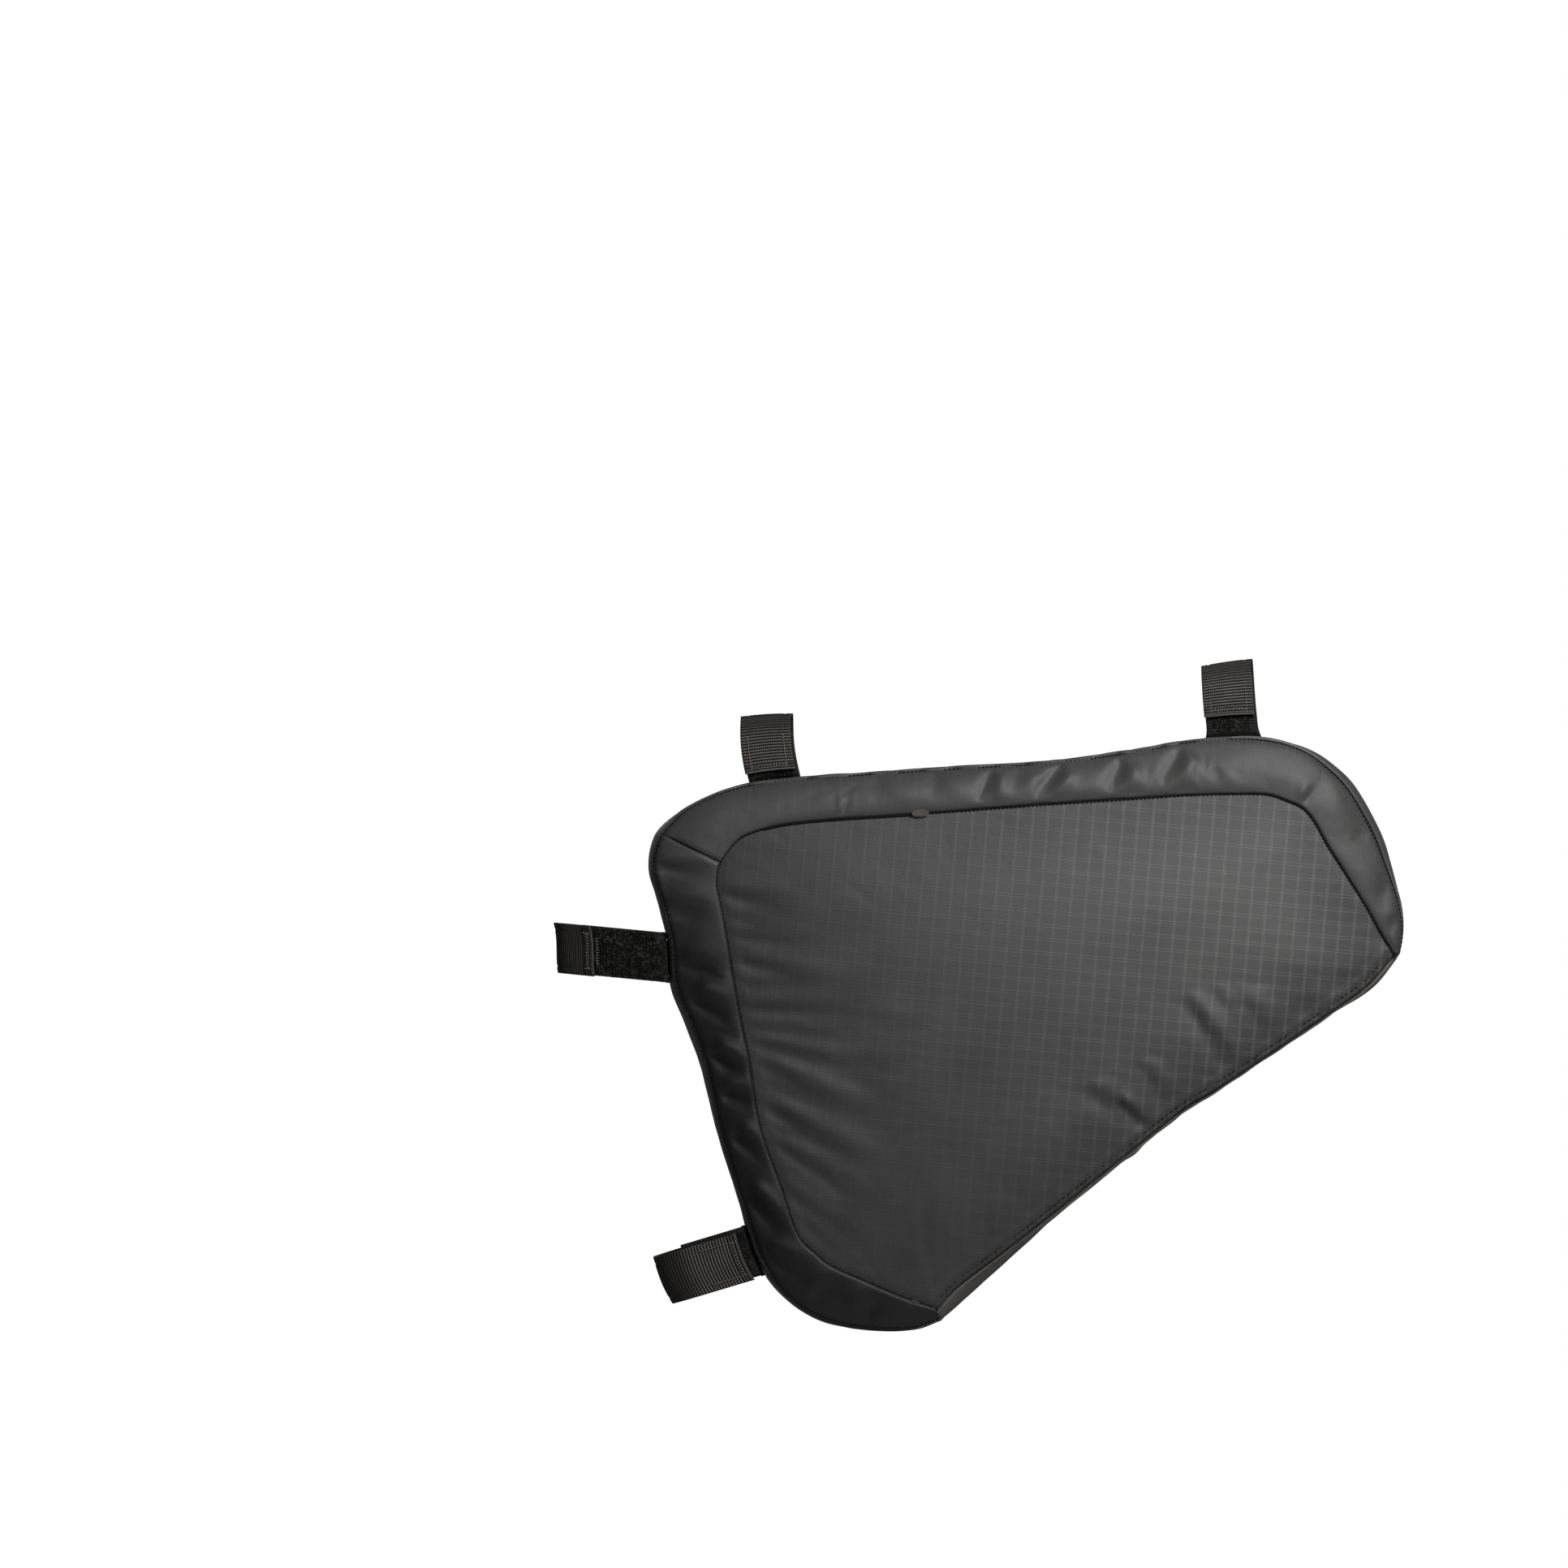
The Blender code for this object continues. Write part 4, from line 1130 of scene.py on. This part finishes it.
def webbing_cloth(name, dark, light, groove, hem_shade_share=0.0):
    """Ribbed webbing: light rounded cords across it, each a twist of fine yarns, and dark gaps. It
    has painted shade where it bends over the bar, and by a share through its hem, between the
    knots stitched there."""
    finish = Finish(name, 0.8, 0.12, sheen=0.05, sheen_roughness=0.5)
    spot = finish.place()
    weave = finish.node("ShaderNodeUVMap", {"uv_map": "weave"})
    across, along, _ = finish.axes(weave)
    yarn = finish.cloud(spot, 1800.0, 3.0)
    broad = finish.cloud(spot, 150.0, 3.0)
    gap = (lines(along + 0.5, 1.0, 0.46) * 1.4).math("MINIMUM", 1.0)
    row = along.math("FLOOR")
    nicks = lines(across + row * 0.019 + along * 0.03, NICK_PITCH, 0.013)
    crest = (1 - gap * 0.99) * (1 - nicks * 0.6)
    lit, hemmed, _ = finish.axes(finish.node("ShaderNodeUVMap", {"uv_map": "past_the_turn"}))
    # Painted shade: darker over the bend on the bar and for a short way down the near side, and darker by a
    # share through the hem.
    tone = crest * (yarn * 0.7 + broad * 0.35 + 0.05) * (0.30 + lit * 0.70) * (1 - hemmed * hem_shade_share)
    finish.set("Base Color", finish.blend(tone, dark, light))
    finish.set("Roughness", 0.66 + yarn * 0.2)
    finish.set("Normal", finish.bump(crest + yarn * 0.3, groove, 0.9))
    return finish.material


webbing_material = webbing_cloth(
    "ribbed_webbing", (0.0030, 0.0028, 0.0027, 1), (0.240, 0.223, 0.203, 1), groove=0.00030, hem_shade_share=0.45
)
hem_material = webbing_cloth(
    "webbing_hem", (0.030, 0.028, 0.026, 1), (0.210, 0.200, 0.185, 1), groove=0.00012
)
tape_material = webbing_cloth(
    "tape_ground", (0.0025, 0.0025, 0.0025, 1), (0.034, 0.033, 0.031, 1), groove=0.00016
)
tan_thread = thread("tan_thread", (0.120, 0.112, 0.102))


def loop_pile(name, dark, light):
    """Brushed loops, paler in tufts: painted highlights where the loops catch the light."""
    finish = Finish(name, 0.85, 0.08, sheen=0.03)
    spot = finish.place()
    tuft = finish.cloud(spot, 900.0, 2.0, 0.6) * 0.65 + finish.cloud(spot, 260.0, 2.0) * 0.35
    finish.set("Base Color", finish.blend((tuft - 0.485) * 7.0, dark, light))
    return finish.material


pile_material = loop_pile("loop_pile", (0.0015, 0.0015, 0.0015, 1), (0.075, 0.071, 0.062, 1))


def add_ribbon(name, points, faces, material, node, pitch, lengths, turned):
    ribbon = add_piece(name, points, faces, material, 0.0, [node])
    lay_weave(ribbon, lengths, pitch, turned)
    return ribbon


def add_webbing(strap):
    half, rise = strap.spread / 2, FOOT_RISE * strap.bend
    upright = strap.reach - strap.bend
    end = webbing_end(strap)
    corners = foot(1, half, rise)
    corners += bend_points(half - strap.bend, upright, strap.bend, 0, 90)
    corners += bend_points(strap.bend - half, upright, strap.bend, 90, 180)
    corners += [(-half, h) for h in np.linspace(upright, end, 4)[1:]]
    path, lengths = rounded(np.array(corners), strap.rib / RIB_ROWS)
    total = lengths[-1]

    def bumps(place):
        crest = np.abs(np.sin(pi * lengths / strap.rib)) ** 0.8 - 0.7
        hemmed = smooth_step(total - HEM_LENGTH, total - HEM_LENGTH + HEM_FADE, lengths)
        pressed_in = 0.00025 * np.exp(-(((abs(place) - EDGE_STITCH) / 0.02) ** 2))
        zigzag = 0.00030 * hemmed * np.exp(-(((total - 0.0024 - lengths) / 0.0009) ** 2))
        fold_line = 0.00035 * np.exp(-(((total - 0.0005 - lengths) / 0.0004) ** 2))
        return RIB_DEPTH * crest * (1 - 0.5 * hemmed) + HEM_LIFT * hemmed + fold_line - pressed_in - zigzag

    points, faces = ribbon_shell(strap, path, 1, bumps, WEBBING_THICKNESS)
    turned = lengths[path[:, 0] < TURNED_OUT - half][0] + strap.shade
    web = add_ribbon(
        f"{strap.name}_web", points, faces, webbing_material, f"{strap.name}_webbing", strap.rib,
        lengths, turned,
    )
    web.data.materials.append(hem_material)
    hem_row = np.searchsorted(lengths, total - HEM_CORD)
    for face in web.data.polygons:
        rows = [i % (len(lengths) * WEB_COLUMNS) // WEB_COLUMNS for i in face.vertices]
        face.material_index = int(min(rows) >= hem_row)


def tape_line(strap):
    half, rise = strap.spread / 2 - WEBBING_THICKNESS - LAYER_GAP, FOOT_RISE * strap.bend
    upright = strap.reach - strap.bend
    corners = foot(-1, half, rise) + [(-half, h) for h in np.linspace(rise + SEAT_GAP, upright, 4)[1:]]
    return rounded(np.array(corners), TAPE_STEP)


def add_tape(strap):
    path, lengths = tape_line(strap)

    def bumps(place):
        return TAPE_RIB_DEPTH * np.abs(np.sin(pi * lengths / TAPE_RIB))

    points, faces = ribbon_shell(strap, path, -1, bumps, TAPE_THICKNESS, strap.shift * STRAP_WIDTH)
    tape = add_ribbon(
        f"{strap.name}_ground", points, faces, tape_material, f"{strap.name}_tape", TAPE_RIB, lengths, 0.0
    )


PILE_GAP = 0.00046
PILE_OUT = 0.0175
PILE_UNDER_WEBBING = 0.0015
LOOP_RADIUS = 0.00036
FIBRE_RADIUS = 0.00009
LOOP_STEPS = 5


def add_pile(strap):
    """Bent fibres that stand all over the stretch of tape that the webbing leaves bare."""
    seed = random.Random(len(strap.name) + 7)
    path, lengths = tape_line(strap)
    bare = (path[:, 0] < -PILE_OUT) & (path[:, 1] > strap.pile_low)
    low = lengths[bare][0]
    high = np.interp(webbing_end(strap) + PILE_UNDER_WEBBING, path[:, 1], lengths)
    points, faces = [], []
    edge = strap.pile * STRAP_WIDTH
    for row in range(int((high - low) / PILE_GAP)):
        for column in range(int(2 * edge / PILE_GAP)):
            length = low + (row + seed.uniform(-0.45, 0.45)) * PILE_GAP
            place = (-edge + (column + seed.uniform(-0.45, 0.45)) * PILE_GAP) / STRAP_WIDTH
            out, up = (np.array(np.interp(length, lengths, path[:, k])) for k in range(2))
            root = on_strap(strap, place, out - 0.0001, up, strap.shift * STRAP_WIDTH)
            turn = seed.uniform(0, pi)
            flat = np.array([cos(turn), 0, sin(turn)])
            lean = unit(np.array([seed.uniform(-0.6, 0.6), -1.0, seed.uniform(-0.6, 0.6)]))
            size = LOOP_RADIUS * seed.uniform(0.75, 1.35)
            side = unit(np.cross(flat, lean))
            first = len(points)
            for step in range(LOOP_STEPS + 1):
                angle = pi * step / LOOP_STEPS
                out = cos(angle) * flat + sin(angle) * lean
                middle = root + size * (cos(angle) * flat + 1.4 * sin(angle) * lean)
                corners = (out, 0.87 * side - 0.5 * out, -0.87 * side - 0.5 * out)
                points += [middle + FIBRE_RADIUS * corner for corner in corners]
            for step in range(LOOP_STEPS):
                for k in range(3):
                    a, b = first + 3 * step + k, first + 3 * step + (k + 1) % 3
                    faces.append((a, a + 3, b + 3, b))
            last = first + 3 * LOOP_STEPS
            faces += [(first, first + 1, first + 2), (last + 2, last + 1, last)]
    add_piece(f"{strap.name}_pile", points, faces, pile_material)


PEBBLES = 12
PEBBLE_ROW = 0.0018
PEBBLE_LENGTH = 0.0013
EDGE_ROW = 0.016
EDGE_ROW_START = 0.0006
EDGE_ROW_PITCH = 0.0012
EDGE_ROW_STITCH = 0.0009
TAPE_DASHES = 10
STITCH_PROUD = 0.0004
HEM_THREAD_RADIUS = 0.00019


def add_hem_stitches(strap):
    """The thread that holds the webbing's folded end: a row of crossed knots and two edge lines."""
    seed = random.Random(len(strap.name))
    end = webbing_end(strap)
    half = strap.spread / 2 + STITCH_PROUD
    knots, rows = ([], []), ([], [])

    def on_face(place, up, out=half):
        return on_strap(strap, place, np.array(-out), np.array(up))

    for i in range(PEBBLES):
        middle = EDGE_STITCH * (2 * (i + 0.5) / PEBBLES - 1)
        lean = 0.012 * seed.choice((-1, 1)) * seed.uniform(0.5, 1.2)
        low = end + PEBBLE_ROW + seed.uniform(-1, 1) * 0.0003
        knots[0].append(on_face(middle - lean, low))
        knots[1].append(on_face(middle + lean, low + PEBBLE_LENGTH * seed.uniform(0.7, 1.1)))
    row_end = min(end + EDGE_ROW, strap.reach - strap.bend)
    for place in (-EDGE_STITCH, EDGE_STITCH):
        for up in np.arange(end + EDGE_ROW_START, row_end, EDGE_ROW_PITCH):
            rows[0].append(on_face(place, up))
            rows[1].append(on_face(place, up + EDGE_ROW_STITCH))
    if strap.webbing_end > 0.5:
        # The longest bare tape also shows the dashes that hold its own end, beside the webbing's.
        out = half - WEBBING_THICKNESS + LAYER_GAP
        for i in range(TAPE_DASHES):
            place = -0.24 + 0.055 * i
            rows[0].append(on_face(place, end - 0.0022, out))
            rows[1].append(on_face(place + 0.01, end - 0.0009, out))
    points, faces = capsules(knots[0] + rows[0], knots[1] + rows[1], HEM_THREAD_RADIUS)
    add_piece(f"{strap.name}_hem_stitches", points, faces, tan_thread)


for strap in STRAPS:
    add_webbing(strap)
    add_tape(strap)
    add_pile(strap)
    add_hem_stitches(strap)

# Stage. A pale floor far under the hanging bag, a white surround, and large soft lamps, the
# strongest from the upper right. The camera looks straight at the near side from a distance.

FLOOR_RADIUS = 2.5
FLOOR_HEIGHT = -0.75
PIXEL = 0.00033
IMAGE_SIZE = 1932
ORIGIN_PIXEL = (1235.7, 904.6)
CAMERA_DISTANCE = 8.0
SENSOR = 36.0
AMBIENT = 0.075

bpy.ops.mesh.primitive_circle_add(
    vertices=96, radius=FLOOR_RADIUS, fill_type="NGON", location=(0, 0, FLOOR_HEIGHT)
)
floor = bpy.context.object
floor.name = "floor"
floor_finish = Finish("floor_paper", 0.9, 0.2)
floor_x, floor_y, _ = floor_finish.axes(floor_finish.place())
away = (floor_x * floor_x + floor_y * floor_y) ** 0.5
floor_finish.set("Base Color", (0.86, 0.86, 0.86, 1.0))
floor_finish.set("Alpha", held_between((2.4 - away) / 1.2, 0.0, 1.0))
floor.data.materials.append(floor_finish.material)

world = bpy.data.worlds.new("studio")
world.use_nodes = True
bpy.context.scene.world = world
tree = world.node_tree
background = tree.nodes["Background"]
background.inputs["Color"].default_value = (1.0, 1.0, 1.0, 1.0)
path_node = tree.nodes.new("ShaderNodeLightPath")
strength = tree.nodes.new("ShaderNodeMix")
strength.data_type = "FLOAT"
strength.inputs[2].default_value = AMBIENT
strength.inputs[3].default_value = 1.0
tree.links.new(path_node.outputs["Is Camera Ray"], strength.inputs[0])
tree.links.new(strength.outputs[0], background.inputs["Strength"])

Lamp = namedtuple("Lamp", "name place size power")
LAMPS = [
    Lamp("key", (0.335, -0.65, 0.40), 0.30, 9.6),
    Lamp("fill", (-0.6, -1.5, 0.5), 1.0, 2.6),
    Lamp("top", (0.1, 0.6, 0.8), 0.6, 0.6),
    Lamp("back", (-0.5, 1.4, 0.4), 1.0, 2.0),
]
BAG_MIDDLE = Vector((0.02, 0, -0.10))
for lamp in LAMPS:
    light = bpy.data.lights.new(lamp.name, "AREA")
    light.size = lamp.size
    light.energy = lamp.power
    thing = bpy.data.objects.new(lamp.name, light)
    thing.location = lamp.place
    thing.rotation_euler = (BAG_MIDDLE - Vector(lamp.place)).to_track_quat("-Z", "Y").to_euler()
    bpy.context.scene.collection.objects.link(thing)

camera_data = bpy.data.cameras.new("camera")
camera = bpy.data.objects.new("camera", camera_data)
bpy.context.scene.collection.objects.link(camera)
near_face = -SIDE_SEAT - BAND_RISE
middle_x = (IMAGE_SIZE / 2 - ORIGIN_PIXEL[0]) * PIXEL
middle_z = (ORIGIN_PIXEL[1] - IMAGE_SIZE / 2) * PIXEL
camera.location = (middle_x, near_face - CAMERA_DISTANCE, middle_z)
camera.rotation_euler = (pi / 2, 0, 0)
camera_data.sensor_width = SENSOR
camera_data.lens = SENSOR * CAMERA_DISTANCE / (IMAGE_SIZE * PIXEL)
bpy.context.scene.camera = camera
bpy.context.scene.view_settings.view_transform = "Standard"
